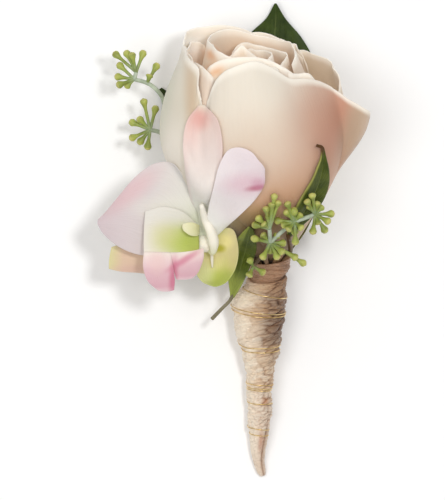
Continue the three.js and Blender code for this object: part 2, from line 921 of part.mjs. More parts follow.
addNode(
  "leaf_lower",
  fuse(
    rod(
      [
        [-5.2, -20.7, 12.6],
        [-2.6, -18.0, 14.2],
        [-0.6, -16.0, 15.8],
        [0.5, -14.2, 16.6],
      ],
      [
        [0, 0.6],
        [1, 0.55],
      ],
      6,
      5,
    ),
    ribbed({
      rib: [
        [0.2, -14.8, 16.3],
        [1.3, -11.4, 18.0],
        [2.5, -7.2, 20.4],
        over(3.7, -2.9, 1.3, 21.6),
        over(4.4, 0.3, 1.6),
        over(5.0, 3.6, 1.4),
      ],
      fronts: [
        [-0.5, -0.4, 0.8],
        [-0.3, -0.5, 0.8],
      ],
      half: [
        [0, 0.6, 0.6, 0],
        [0.2, 2.8, 1.7, 0.5],
        [0.45, 3.8, 2.7, 0.6],
        [0.7, 3.0, 2.8, 0.3],
        [0.9, 1.6, 1.6, 0.1],
        [1, 0.5, 0.5, 0],
      ],
      thick: LEAF_THICK,
      rows: 8,
      columns: 4,
      rest: layOn(LEAF_THICK / 2 + 1.6 * GAP),
    }),
  ),
  0x466b30,
  0.5,
);

// The orchid: three sepals behind, two petals before them, its column and flower stalk.
const ORCHID_MIDDLE = [-7, -0.6, 27];

function orchidBloom() {
  const middle = rings(
    [
      [-1.8, 1.4],
      [-0.6, 2.4],
      [0.8, 2.2],
      [1.8, 1.0],
    ].map(([z, radius]) =>
      Array.from({ length: 8 }, (_, j) => {
        const turn = (j * Math.PI) / 4;
        const offset = new THREE.Vector3(radius * Math.cos(turn), radius * Math.sin(turn), z);
        return v3(ORCHID_MIDDLE).add(offset);
      }),
    ),
  );
  const shape = { thick: PETAL_THICK, rest: layOn(PETAL_THICK / 2 + 2 * GAP) };
  const upperSepal = blade({
    left: [
      [-8.6, 0.4, 26.8],
      [-10.2, 8, 30],
      over(-11.5, 14, 1.6),
      over(-12.4, 20, 1.6),
      over(-12.8, 26.5, 1.6),
      over(-11.6, 32, 1.6),
      over(-8.8, 35.6, 1.8),
    ],
    rib: [
      [-7.2, 0.4, 27],
      [-7.6, 8, 31],
      over(-7.6, 14, 2.2),
      over(-7.6, 20, 2.4),
      over(-7.7, 26.8, 1.5),
      over(-7.8, 32, 1.6),
      over(-7.8, 35.9, 1.8),
    ],
    right: [
      [-5.8, 0.4, 27.2],
      over(-4.8, 8, 1.4, 30),
      over(-3.4, 14, 1.2),
      over(-2.6, 20, 1.2),
      over(-2.5, 26.5, 1.3),
      over(-3.8, 32, 1.5),
      over(-6.8, 35.6, 1.8),
    ],
    rows: 9,
    columns: 4,
    ...shape,
  });
  const rightPetal = blade({
    left: [
      [-6.8, 0.8, 28],
      over(-6.4, 7, 3.4),
      over(-4.8, 14, 3.2),
      over(-3.0, 20.5, 3.0),
      over(-0.8, 24, 2.4),
      over(2.3, 24.6, 2.2),
      over(5.4, 23.3, 2.4),
      over(7.4, 20.8, 2.8),
    ],
    rib: [
      [-6.0, 0.6, 28],
      over(-2.5, 6.9, 2.2),
      over(1.7, 12.2, 1.8),
      over(5.0, 16.8, 1.8),
      over(8.2, 20, 2.8),
    ],
    right: [
      [-5.0, 0.2, 28],
      over(-1.7, 3.4, 2.4, 29),
      over(2.3, 6.9, 1.6),
      over(6.2, 10.9, 1.4),
      over(8.6, 14.8, 1.6),
      over(8.8, 18.8, 2.6),
    ],
    rows: 7,
    columns: 5,
    ruffle: [0.35, 1.6],
    ...shape,
  });
  const leftPetal = blade({
    left: [
      [-8.0, -2.0, 27],
      [-14, -3.4, 28.5],
      [-20, -4.0, 29.5],
      [-25.5, -3.4, 29.6],
      [-30.4, -1.2, 29.4],
      [-34.2, 2.2, 29],
      [-35.4, 4.3, 28.8],
    ],
    rib: [
      [-8.6, 0.2, 27.4],
      [-15, 3.4, 30.4],
      [-22, 6.2, 32],
      [-29, 7.0, 31.4],
      [-35.5, 5.0, 29],
    ],
    right: [
      [-8.6, 1.6, 27.6],
      [-9.4, 9.2, 31],
      [-11.8, 15, 33.5],
      [-15.4, 20.4, 34],
      [-20.0, 20.6, 33.4],
      [-25.2, 17.2, 32.4],
      [-29.6, 12.2, 31.2],
      [-33.4, 7.6, 30],
      [-35.2, 5.8, 29.2],
    ],
    rows: 8,
    columns: 7,
    ruffle: [0.4, 1.7],
    ...shape,
  });
  const leftSepal = blade({
    left: [
      [-7.6, -3.6, 25.6],
      [-14, -7.6, 23.8],
      [-20, -8.8, 23.4],
      [-25.5, -8.4, 23.6],
      [-29.5, -8.1, 24.2],
      [-32.5, -7.4, 24.8],
    ],
    rib: [
      [-8, -2.0, 25.6],
      [-16, -3.8, 24.6],
      [-24.4, -4.6, 24.6],
      [-32.4, -4.6, 25],
    ],
    right: [
      [-8.2, -0.8, 25.6],
      [-15, 0.6, 25],
      [-22, 0.8, 25],
      [-28, -0.4, 25],
      [-31.8, -1.6, 25],
    ],
    rows: 7,
    columns: 4,
    ...shape,
  });
  const rightSepal = blade({
    left: [
      [-6.6, -0.8, 26],
      [-8.6, -4.4, 25.4],
      [-9.4, -8.2, 25.2],
      [-7.8, -10.8, 25.6],
      [-5.0, -12.0, 26],
    ],
    rib: [
      [-5.6, -0.6, 25.8],
      [-4.4, -3.8, 23.6],
      [-3.6, -7.2, 22.8],
      [-3.9, -10.2, 23.8],
      [-4.4, -12.1, 26],
    ],
    right: [
      [-4.8, 0.6, 26.4],
      [-1.8, 3.4, 27.6],
      [0.4, 3.0, 27.8],
      [1.6, -0.6, 27.4],
      [1.7, -4.4, 27],
      [0.6, -8.2, 26.6],
      [-1.5, -11.0, 26.2],
      [-3.8, -12.1, 26],
    ],
    rows: 7,
    columns: 5,
    ...shape,
  });
  const column = rod(
    [
      [-6.4, -1.4, 26.0],
      [-5.1, -3.2, 28.2],
      [-4.7, -1.5, 29.8],
      [-4.95, 0.7, 31.0],
      [-5.7, 2.9, 31.8],
      [-6.9, 5.6, 32.4],
      over(-7.95, 9.5, 2.4, 33.2),
    ],
    [
      [0, 1.2],
      [0.15, 0.65],
      [0.29, 1.25],
      [0.44, 1.75],
      [0.58, 1.6],
      [0.73, 1.35],
      [0.93, 1.0],
      [1, 0.6],
    ],
    7,
    12,
  );
  const stalk = rod(
    [
      ...stemInBore(STEM_TURNS.orchid, 15),
      [0.4, -4.6, 17.2],
      [-3.4, -3.4, 20.4],
      [-6.2, -1.6, 24],
      [-6.9, -0.8, 26.6],
    ],
    [
      [0, STALK_RADIUS],
      [0.7, STALK_RADIUS + 0.1],
      [1, 1.3],
    ],
    6,
    12,
  );
  return fuse(middle, upperSepal, rightPetal, leftPetal, leftSepal, rightSepal, column, stalk);
}
addNode("orchid_bloom", orchidBloom(), 0xf3e2e0, 0.55);

// The lip: a throat with a side lobe folded over it, and two lobes folded down in front of it.
function orchidLip() {
  const shape = { thick: PETAL_THICK };
  const throat = blade({
    left: [
      [-8.7, -2.4, 29.4],
      [-13, -3.2, 32.8],
      [-18, -3.2, 34.2],
      [-23.2, -3.0, 34.4],
    ],
    rib: [
      [-8.7, 0.6, 28.9],
      [-13, 1.6, 31.8],
      [-18, 2.4, 33.4],
      [-23.2, 2.4, 34.2],
    ],
    right: [
      [-9.2, 4.6, 31.0],
      [-13.2, 7.8, 33.8],
      [-18, 9.0, 34.2],
      [-22.8, 7.8, 33.8],
    ],
    rows: 6,
    columns: 6,
    ...shape,
  });
  const sideLobe = blade({
    left: [
      [-8.6, 1.8, 30.0],
      [-9.4, 1.3, 32.6],
      [-11.0, 1.5, 34.0],
      [-12.6, 2.6, 34.6],
    ],
    rib: [
      [-8.6, 3.0, 30.4],
      [-9.6, 2.9, 33.0],
      [-11.4, 3.1, 34.5],
      [-13.0, 3.6, 34.8],
    ],
    right: [
      [-8.6, 4.2, 31.0],
      [-9.6, 4.7, 33.2],
      [-11.2, 4.9, 34.4],
      [-12.8, 4.5, 34.8],
    ],
    rows: 4,
    columns: 2,
    ...shape,
  });
  const leftLobe = blade({
    left: [
      [-23.2, -2.8, 34.5],
      [-23.4, -6.8, 34.4],
      [-22.2, -10.6, 33.0],
      [-19.6, -13.0, 31.2],
    ],
    rib: [
      [-19.8, -2.9, 34.5],
      [-19.4, -7.6, 34.4],
      [-17.6, -13.4, 31.0],
    ],
    right: [
      [-16.2, -3.0, 34.0],
      [-15.5, -6.6, 33.8],
      [-15.0, -10.2, 32.4],
      [-15.2, -13.0, 31.0],
    ],
    rows: 5,
    columns: 4,
    ...shape,
  });
  const rightLobe = blade({
    left: [
      [-16.8, -3.0, 34.0],
      [-15.6, -6.8, 33.0],
      [-14.6, -10.2, 31.4],
    ],
    rib: [
      [-11.8, -2.8, 32.6],
      [-11.6, -6.4, 32.6],
      [-12.0, -10.2, 30.4],
    ],
    right: [
      [-7.4, -1.9, 31.2],
      [-7.4, -4.4, 31.4],
      [-8.8, -8.2, 30.6],
      [-10.2, -9.8, 30.2],
    ],
    rows: 5,
    columns: 5,
    ...shape,
  });
  return fuse(throat, sideLobe, leftLobe, rightLobe);
}
addNode("orchid_lip", orchidLip(), 0xe9d3d0, 0.5);

// Seeded eucalyptus. A bud is a club on a thin stalk, from its node to its blunt end.
function bud(from, to, rest = (p) => p) {
  const sides = 4;
  const start = v3(from);
  const end = v3(to);
  const length = start.distanceTo(end);
  const headAt = 1 - 1.4 / length;
  const neckAt = Math.max(1 - 3.4 / length, 0.2);
  const across = new THREE.Vector3(0, 0, 1).cross(end.clone().sub(start)).normalize();
  const front = new THREE.Vector3().crossVectors(end.clone().sub(start).normalize(), across);
  return rings(
    [
      [0, BUD_STALK],
      [neckAt, BUD_STALK],
      [headAt, BUD_RADIUS],
      [1, 0.5 * BUD_RADIUS],
    ].map(([t, radius]) => {
      const at = rest(start.clone().lerp(end, t), radius);
      return Array.from({ length: sides }, (_, j) => {
        const turn = (2 * Math.PI * (j + 0.35)) / sides; // so that no two buds share a plane
        return at
          .clone()
          .addScaledVector(across, radius * Math.cos(turn))
          .addScaledVector(front, radius * Math.sin(turn));
      });
    }),
  );
}

function eucalyptusRight() {
  const nodes = {
    low: over(5.8, -6.8, 3.0, 23.4),
    first: over(10.3, -0.5, 2.6, 28),
    branch: over(10, 3.2, 3, 30),
    second: over(16.7, 5, 2.6, 32),
    third: over(22.1, 7, 2.4, 34.6),
  };
  const buds = {
    low: [
      [4.7, -4.8],
      [9.0, -8.7],
      [4.4, -9.6],
    ],
    first: [
      [5.3, 0.8],
      [7.9, 2.1],
      [7.9, -5.0],
      [10.2, -3.4],
      [12.4, -5.0],
      [14.0, -3.4],
      [14.5, -0.6],
      [12.4, 1.9],
      [17.6, -4.8],
      [19.8, -6.4],
    ],
    branch: [
      [5.3, 4.5],
      [6.5, 6.6],
      [8.1, 4.8],
      [9.0, 9.2],
      [9.8, 7.2],
      [10.7, 10.3],
      [11.4, 12.6],
      [12.5, 10.8],
    ],
    second: [
      [11.2, 5.4],
      [13.0, 4.0],
      [14.0, 8.2],
      [14.5, 10.5],
      [18.5, 7.4],
      [14.6, 2.6],
      [16.7, 1.6],
      [16.9, -1.2],
      [18.9, 3.0],
      [16.5, 8.6],
    ],
    third: [
      [21.2, 12.7],
      [20.2, 9.7],
      [22.7, 10.6],
      [24.1, 9.3],
      [27.3, 7.2],
      [26.2, 4.8],
      [25.1, 2.1],
      [23.0, 4.2],
      [21.4, 1.6],
      [19.6, 11.0],
    ],
  };
  const fork = over(9.2, -3.2, 2.0, 23);
  const stem = rod(
    [
      ...stemInBore(STEM_TURNS.eucalyptusRight, 17),
      ...laid(
        [
          fork,
          nodes.first,
          over(13.6, 2.7, 2.4, 30),
          nodes.second,
          over(19.5, 6.1, 2.4, 32),
          nodes.third,
        ],
        STALK_RADIUS + 2 * GAP,
        10,
      ),
    ],
    STALK,
    5,
    19,
  );
  const twigs = [
    rod([nodes.first, nodes.branch], STALK, 5, 2),
    rod([fork, over(7.4, -4.6, 2.4, 23.4), nodes.low], STALK, 5, 3),
  ];
  const clubs = Object.entries(buds).flatMap(([name, ends]) =>
    ends.map(([x, y], i) => {
      const rest = (p, radius) => layOn(radius + 2.4 * GAP)(p);
      return bud(nodes[name], over(x, y, 1.5, nodes[name][2] - 1 + 1.6 * (i % 3)), rest);
    }),
  );
  return fuse(stem, twigs, clubs);
}
addNode("eucalyptus_right", eucalyptusRight(), 0xa9b958, 0.6);

function eucalyptusLeft() {
  const nodes = {
    fork: [-25.8, 42.9, 18],
    upper: [-25.3, 44.8, 18.6],
    middle: [-22.4, 41.9, 17],
    lower: [-21.6, 29.5, 14.5],
  };
  const buds = {
    upper: [
      [-31.4, 50.1],
      [-28.2, 50.6],
      [-26.6, 50.1],
      [-23.2, 50.6],
    ],
    fork: [
      [-30.3, 47.2],
      [-31.1, 43.7],
      [-30.6, 41.1],
      [-28.2, 40.8],
    ],
    middle: [
      [-19.5, 47.2],
      [-21.6, 44.3],
    ],
    lower: [
      [-27.2, 31.8],
      [-25, 32.9],
      [-27.2, 27],
      [-24.8, 25.7],
      [-22.4, 24.1],
      [-23.5, 37.9],
      [-20, 36],
    ],
  };
  const stem = rod(
    [
      ...stemInBore(STEM_TURNS.eucalyptusLeft, 19),
      [-1, 0.6, 8.8],
      [-6, 7.4, 8.4],
      [-11.5, 16, 9],
      [-16.0, 24, 10.6],
      [-17.4, 31, 12.6],
      [-18.2, 37.6, 14.6],
      [-20.3, 40.5, 16.5],
      nodes.middle,
      nodes.fork,
    ],
    STALK,
    6,
    20,
  );
  const twigs = [
    rod([[-16.8, 27, 11.4], [-19.2, 28.9, 13.4], nodes.lower], STALK, 5, 3),
    rod([nodes.fork, nodes.upper], STALK, 5, 1),
  ];
  const clubs = Object.entries(buds).flatMap(([name, ends]) =>
    ends.map(([x, y], i) => bud(nodes[name], [x, y, nodes[name][2] + 1.4 * ((i % 3) - 0.6)])),
  );
  return fuse(stem, twigs, clubs);
}
addNode("eucalyptus_left", eucalyptusLeft(), 0xa9b958, 0.6);

// The pieces are drawn about a point near the middle of the whole, which this moves to the origin.
const TO_MIDDLE = new THREE.Vector3(0.2, 0.1, 0);
group.position.copy(TO_MIDDLE);

export default group;
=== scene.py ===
"""The looks of a boutonniere lying on its back: a blush rose, an orchid bloom, seeded eucalyptus and
leaves, bound in satin ribbon with gold wire. Routes and sizes are in millimetres, as in the part's source,
until a mesh is made. The flowers look up along +Z and the rose's head is towards +Y."""

import math

import bpy
import numpy as np
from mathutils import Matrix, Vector
from mathutils.bvhtree import BVHTree


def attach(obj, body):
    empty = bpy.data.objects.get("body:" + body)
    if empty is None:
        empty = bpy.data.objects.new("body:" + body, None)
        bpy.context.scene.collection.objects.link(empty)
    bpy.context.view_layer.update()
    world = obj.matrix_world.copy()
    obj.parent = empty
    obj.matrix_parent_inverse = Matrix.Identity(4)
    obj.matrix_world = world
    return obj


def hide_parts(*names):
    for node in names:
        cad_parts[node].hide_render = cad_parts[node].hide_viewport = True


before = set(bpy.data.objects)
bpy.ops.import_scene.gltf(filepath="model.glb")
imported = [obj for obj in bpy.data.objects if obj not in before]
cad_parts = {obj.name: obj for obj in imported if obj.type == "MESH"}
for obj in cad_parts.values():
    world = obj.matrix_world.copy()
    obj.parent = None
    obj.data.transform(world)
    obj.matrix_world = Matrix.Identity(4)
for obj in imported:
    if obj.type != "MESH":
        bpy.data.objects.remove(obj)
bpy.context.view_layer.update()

MM = 0.001
TO_MIDDLE = np.array([0.2, 0.1, 0.0])  # moves the drawing's zero to the middle of the whole piece

PETAL_THICK = 0.7
LEAF_THICK = 0.8
GAP = 0.35
ROSE_BASE = np.array([10.0, -5.0, 12.4])
ROSE_LEAN = math.radians(5.8)
ROSE_TILT = math.radians(20)
SEPAL_THICK = 0.6
STALK_RADIUS = 0.6
OUTERMOST = 1.045  # the left guard's foot, as a share of the bud's radius
ROUTE_STEPS = 201  # places at which a route's length is measured
EDGE_KNOTS = 17  # places at which a blade's edges are set out from its rib


# Numbers along a line.


def smooth(x):
    x = np.clip(x, 0, 1)
    return x * x * (3 - 2 * x)


def risen(value, start, span):
    """0 up to the start, then an eased climb that reaches 1 a span further on."""
    return smooth((value - start) / span)


def smooth_knots(knots):
    """A smooth curve through knots [t, a, b, ...], read at t as an array [..., (a, b, ...)]."""
    table = np.array(knots, float)
    at, values = table[:, 0], table[:, 1:]
    last = len(at) - 1

    def read(t):
        t = np.asarray(t, float)
        i = np.clip(np.searchsorted(at, t, side="left") - 1, 0, last - 1)
        before = np.maximum(i - 1, 0)
        after = np.minimum(i + 2, last)
        span = (at[i + 1] - at[i])[..., None]
        s = np.clip((t - at[i])[..., None] / span, 0, 1)
        slope_from = (values[i + 1] - values[before]) / (at[i + 1] - at[before])[..., None] * span
        slope_to = (values[after] - values[i]) / (at[after] - at[i])[..., None] * span
        cube, square = s**3, s**2
        return (
            values[i] * (2 * cube - 3 * square + 1)
            + slope_from * (cube - 2 * square + s)
            + values[i + 1] * (3 * square - 2 * cube)
            + slope_to * (cube - square)
        )

    return read


def evenly(rows):
    """Rows of values as knots spread evenly from 0 to 1."""
    return [[i / (len(rows) - 1), *row] for i, row in enumerate(rows)]


class Route:
    """A smooth line through points: a centripetal Catmull-Rom spline."""

    def __init__(self, points):
        p = np.array(points, float)
        self.spans = len(p) - 1
        self.padded = np.vstack([2 * p[0] - p[1], p, 2 * p[-1] - p[-2]])
        self.fine = np.linspace(0, 1, ROUTE_STEPS)
        line = self.at(self.fine)
        run = np.concatenate([[0], np.cumsum(np.linalg.norm(np.diff(line, axis=0), axis=1))])
        self.length = run[-1]
        self.share = run / run[-1]

    def at(self, t):
        x = np.clip(np.asarray(t, float), 0, 1) * self.spans
        i = np.minimum(np.floor(x).astype(int), self.spans - 1)
        w = (x - i)[..., None]
        p0, p1, p2, p3 = (self.padded[i + k] for k in range(4))
        d0, d1, d2 = (
            np.maximum(np.linalg.norm(b - a, axis=-1), 1e-8)[..., None] ** 0.5
            for a, b in ((p0, p1), (p1, p2), (p2, p3))
        )
        m1 = ((p1 - p0) / d0 - (p2 - p0) / (d0 + d1) + (p2 - p1) / d1) * d1
        m2 = ((p2 - p1) / d1 - (p3 - p1) / (d1 + d2) + (p3 - p2) / d2) * d1
        return (
            p1
            + m1 * w
            + (3 * (p2 - p1) - 2 * m1 - m2) * w**2
            + (2 * (p1 - p2) + m1 + m2) * w**3
        )

    def even(self, share):
        """The point at a share of the line's length."""
        return self.at(np.interp(share, self.share, self.fine))

    def heading(self, share):
        step = 1e-3
        return unit(self.even(np.minimum(share + step, 1)) - self.even(np.maximum(share - step, 0)))


def unit(v):
    return v / np.maximum(np.linalg.norm(v, axis=-1, keepdims=True), 1e-12)


def dot(a, b):
    return np.sum(a * b, axis=-1, keepdims=True)


def averaged(values):
    """Each value of a line averaged with its two neighbours on both sides."""
    return np.convolve(np.pad(values, 2, mode="edge"), np.ones(5) / 5, mode="valid")


# Meshes.


def add_piece(name, parts, replaced):
    """One object of several closed parts. A part is (points, faces, material, {attribute: values})."""
    points, faces, material_of, materials, attributes = [], [], [], [], {}
    start = 0
    for part_points, part_faces, material, part_attributes in parts:
        if material not in materials:
            materials.append(material)
        points.append(part_points)
        faces.extend([tuple(start + i for i in face) for face in part_faces])
        material_of.extend([materials.index(material)] * len(part_faces))
        for key, values in part_attributes.items():
            attributes.setdefault(key, []).append((start, values))
        start += len(part_points)
    mesh = bpy.data.meshes.new(name)
    mesh.from_pydata((np.vstack(points) + TO_MIDDLE) * MM, [], faces)
    for material in materials:
        mesh.materials.append(material)
    mesh.polygons.foreach_set("material_index", material_of)
    mesh.polygons.foreach_set("use_smooth", [True] * len(faces))
    for key, pieces in attributes.items():
        values = np.zeros(start, np.float32)
        for first, part in pieces:
            values[first : first + len(part)] = part
        mesh.attributes.new(key, "FLOAT", "POINT").data.foreach_set("value", values)
    mesh.update()
    obj = bpy.data.objects.new(name, mesh)
    bpy.context.scene.collection.objects.link(obj)
    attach(obj, "root")
    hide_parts(*replaced)


EDGE_SHARPNESS = 10  # how late a sheet thins on the way to its edge
LEAST_THICK = 0.9  # the share of its thickness that a sheet keeps where it is pressed on the table


def grid_steps(count, crowd=1.6):
    """Shares from root to tip, crowded towards the tip."""
    return 1 - (1 - np.linspace(0, 1, count + 1)) ** crowd


def side_steps(count, crowd=0.94):
    """-1 to 1, crowded towards both edges."""
    quarter = math.pi / 2 * crowd
    return np.sin(np.linspace(-1, 1, count + 1) * quarter) / math.sin(quarter)


def sheet(surface, us, vs, thick, material, floor=None, rim=0.3, extra=None):
    """A closed thin part on both sides of surface(u, v), thinner towards its edges."""
    u, v = np.meshgrid(us, vs, indexing="ij")
    middle = surface(u, v)
    normal = unit(np.cross(np.gradient(middle, axis=1), np.gradient(middle, axis=0)))
    near_edge = np.maximum(np.abs(v), u) ** EDGE_SHARPNESS
    half = thick / 2 * (1 - (1 - rim) * near_edge)[..., None]
    upper = middle + normal * half
    lower = middle - normal * half
    if floor is not None:
        low, high = sorted((upper, lower), key=lambda face: face[..., 2].mean())
        low[..., 2] = np.maximum(low[..., 2], floor)
        high[..., 2] = np.maximum(high[..., 2], floor + LEAST_THICK * thick)
    rows, columns = u.shape
    index = np.arange(rows * columns).reshape(rows, columns)
    count = rows * columns
    a, b, c, d = index[:-1, :-1], index[:-1, 1:], index[1:, 1:], index[1:, :-1]
    top = np.stack([a, b, c, d], -1).reshape(-1, 4)
    under = np.stack([a, d, c, b], -1).reshape(-1, 4) + count
    ring = np.concatenate([index[0, :], index[1:, -1], index[-1, -2::-1], index[-2:0:-1, 0]])
    onward = np.roll(ring, -1)
    wall = np.stack([onward, ring, ring + count, onward + count], -1)
    faces = np.vstack([top, under, wall])
    points = np.vstack([upper.reshape(-1, 3), lower.reshape(-1, 3)])
    attributes = {"along": np.tile(u.ravel(), 2), "aside": np.tile(v.ravel(), 2)}
    for key, values in (extra or {}).items():
        values = np.broadcast_to(values, u.shape)
        attributes[key] = np.tile(values.ravel(), 2)
    return points, faces.tolist(), material, attributes


def tube(centres, radii, sides, material, extra=None):
    """A closed round part along a line of points."""
    heading = unit(np.gradient(centres, axis=0))
    front = np.zeros_like(centres)
    side = np.array([0.0, 0.0, 1.0])
    for i, h in enumerate(heading):
        side = side - h * np.dot(side, h)
        side /= np.linalg.norm(side)
        front[i] = side
    across = np.cross(heading, front)
    turn = np.linspace(0, 2 * math.pi, sides, endpoint=False)
    radii = np.broadcast_to(radii, len(centres))
    ring = front[:, None] * np.cos(turn)[None, :, None] + across[:, None] * np.sin(turn)[None, :, None]
    return loops(centres[:, None] + ring * radii[:, None, None], material, extra)


def loops(rings, material, extra=None):
    """Rings of points joined into a closed part."""
    count, sides = rings.shape[:2]
    index = np.arange(count * sides).reshape(count, sides)
    onward = np.roll(index, -1, axis=1)
    quads = np.stack([index[:-1], onward[:-1], onward[1:], index[1:]], -1).reshape(-1, 4).tolist()
    first, last = count * sides, count * sides + 1
    caps = [[first, onward[0, j], index[0, j]] for j in range(sides)]
    caps += [[last, index[-1, j], onward[-1, j]] for j in range(sides)]
    points = np.vstack([rings.reshape(-1, 3), rings[0].mean(0), rings[-1].mean(0)])
    attributes = {"along": np.concatenate([np.repeat(np.linspace(0, 1, count), sides), [0, 1]])}
    for key, values in (extra or {}).items():
        values = np.broadcast_to(values, (count, sides))
        attributes[key] = np.concatenate([values.ravel(), values[[0, -1], 0]])
    return points, quads + caps, material, attributes


def sleeve(rings, material, extra):
    """Rings of points, up the outside and back down the inside, joined into a part with a hole."""
    index = np.arange(rings.shape[0] * rings.shape[1]).reshape(rings.shape[:2])
    onward = np.roll(index, -1, axis=1)
    next_ring = np.roll(index, -1, axis=0)
    next_onward = np.roll(onward, -1, axis=0)
    quads = np.stack([index, onward, next_onward, next_ring], -1).reshape(-1, 4).tolist()
    attributes = {key: values.ravel() for key, values in extra.items()}
    return rings.reshape(-1, 3), quads, material, attributes


# What lies on something is dropped on the CAD solids under it. They are in the order of laying.

LAID_ON = [
    "rose_petals", "rose_stem", "ribbon_wrap", "gold_wire", "leaf_top", "leaf_left", "leaf_right",
    "leaf_lower", "orchid_bloom", "orchid_lip",
]
ABOVE_ALL = 0.2  # metres
NOTHING_THERE = -1e9
STEEPEST = 0.4  # on a steeper face the lift isn't made any larger
EASINGS = 3


def surface_of(node):
    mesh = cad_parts[node].data
    return BVHTree.FromPolygons([v.co for v in mesh.vertices], [p.vertices for p in mesh.polygons])


GROUND = {node: surface_of(node) for node in LAID_ON}


def nodes_below(node):
    """What is laid before a node."""
    return LAID_ON[: LAID_ON.index(node)]


def clear_over(x, y, lift, nodes):
    """The lowest height in millimetres at which something lies clear of the nodes."""
    best = NOTHING_THERE
    start = Vector(((x + TO_MIDDLE[0]) * MM, (y + TO_MIDDLE[1]) * MM, ABOVE_ALL))
    for node in nodes:
        hit, normal, _, _ = GROUND[node].ray_cast(start, Vector((0, 0, -1)))
        if hit is not None:
            best = max(best, hit.z / MM + lift / max(abs(normal.z), STEEPEST))
    return best


def laid_on(points, lift, under):
    """Raises a grid of points clear of what is under it, with no kinks."""
    rise = np.zeros(points.shape[:-1])
    for i in np.ndindex(rise.shape):
        x, y, z = points[i]
        rise[i] = max(clear_over(x, y, lift, under) - z, 0)
    for _ in range(EASINGS):
        padded = np.pad(rise, 1, mode="edge")
        near = (padded[:-2, 1:-1] + padded[2:, 1:-1] + padded[1:-1, :-2] + padded[1:-1, 2:]) / 4
        rise = np.maximum(rise, near)
    points = points.copy()
    points[..., 2] += rise
    return points


VEINS_ALONG = 15.0  # side veins of a leaf
VEIN_SLANT = 3.2
GROOVE_WIDTH = 0.09
OUT_OF_STEP = 1.3  # radians between the waves of a blade's left half and those of its right half


def blade(
    left, rib, right, thick, material, rows=44, columns=28, ruffle=(0, 1), under=(), lift=0.0, floor=None,
    groove=0.0, sway=0.0,
):
    """A leaf or petal with a rib and two edges, each a route from root to tip. ruffle is how high its
    waves are and how many it has, groove how deep the rib lies, and sway how high the veins stand."""
    routes = [Route(points) for points in (left, rib, right)]
    height, waves = ruffle

    def surface(u, v):
        on_left, on_rib, on_right = (route.even(u) for route in routes)
        bend = (on_left + on_right) / 2 - on_rib
        p = on_rib + (on_right - on_left) * (v / 2)[..., None] + bend * (v * v)[..., None]
        phase = waves * 2 * math.pi * u + np.where(v < 0, OUT_OF_STEP, 0)
        p[..., 2] += height * np.sin(phase) * v * v * smooth(u * 3)
        p[..., 2] -= groove * np.exp(-((v / GROOVE_WIDTH) ** 2)) * smooth(u * 5) * smooth((1 - u) * 6)
        if sway:
            veins = np.sin((u * VEINS_ALONG - np.abs(v) * VEIN_SLANT) * 2 * math.pi)
            p[..., 2] += sway * veins * np.abs(v) * (1 - v * v) * smooth((1 - u) * 4)
        return laid_on(p, lift, under) if under else p

    return sheet(surface, grid_steps(rows), side_steps(columns), thick, material, floor)


def ribbed(rib, fronts, half, **rest):
    """A blade from its rib. half holds [t, left, right, rise], and fronts where its face looks."""
    half_at = smooth_knots(half)
    front_at = smooth_knots(evenly(fronts))
    route = Route(rib)
    t = np.linspace(0, 1, EDGE_KNOTS)
    heading = route.heading(t)
    front = front_at(t)
    front = unit(front - heading * dot(front, heading))
    side = np.cross(heading, front)
    reach = half_at(t)
    middle = route.even(t)
    left = middle - side * reach[:, [0]] + front * reach[:, [2]]
    right = middle + side * reach[:, [1]] + front * reach[:, [2]]
    return blade(left, rib, right, **rest)


def rod(route, radii, sides, count, material, extra=None):
    """A round rod along a route, its radius read from knots [t, radius]."""
    t = np.linspace(0, 1, count + 1)
    return tube(Route(route).at(t), smooth_knots(radii)(t)[:, 0], sides, material, extra=extra)


# Materials.


def linear(red, green, blue):
    """A colour given as 0 to 255 screen values, in the even steps of light that a shader takes."""
    channels = []
    for value in (red, green, blue):
        c = value / 255
        channels.append(c / 12.92 if c <= 0.04045 else ((c + 0.055) / 1.055) ** 2.4)
    return (*channels, 1.0)


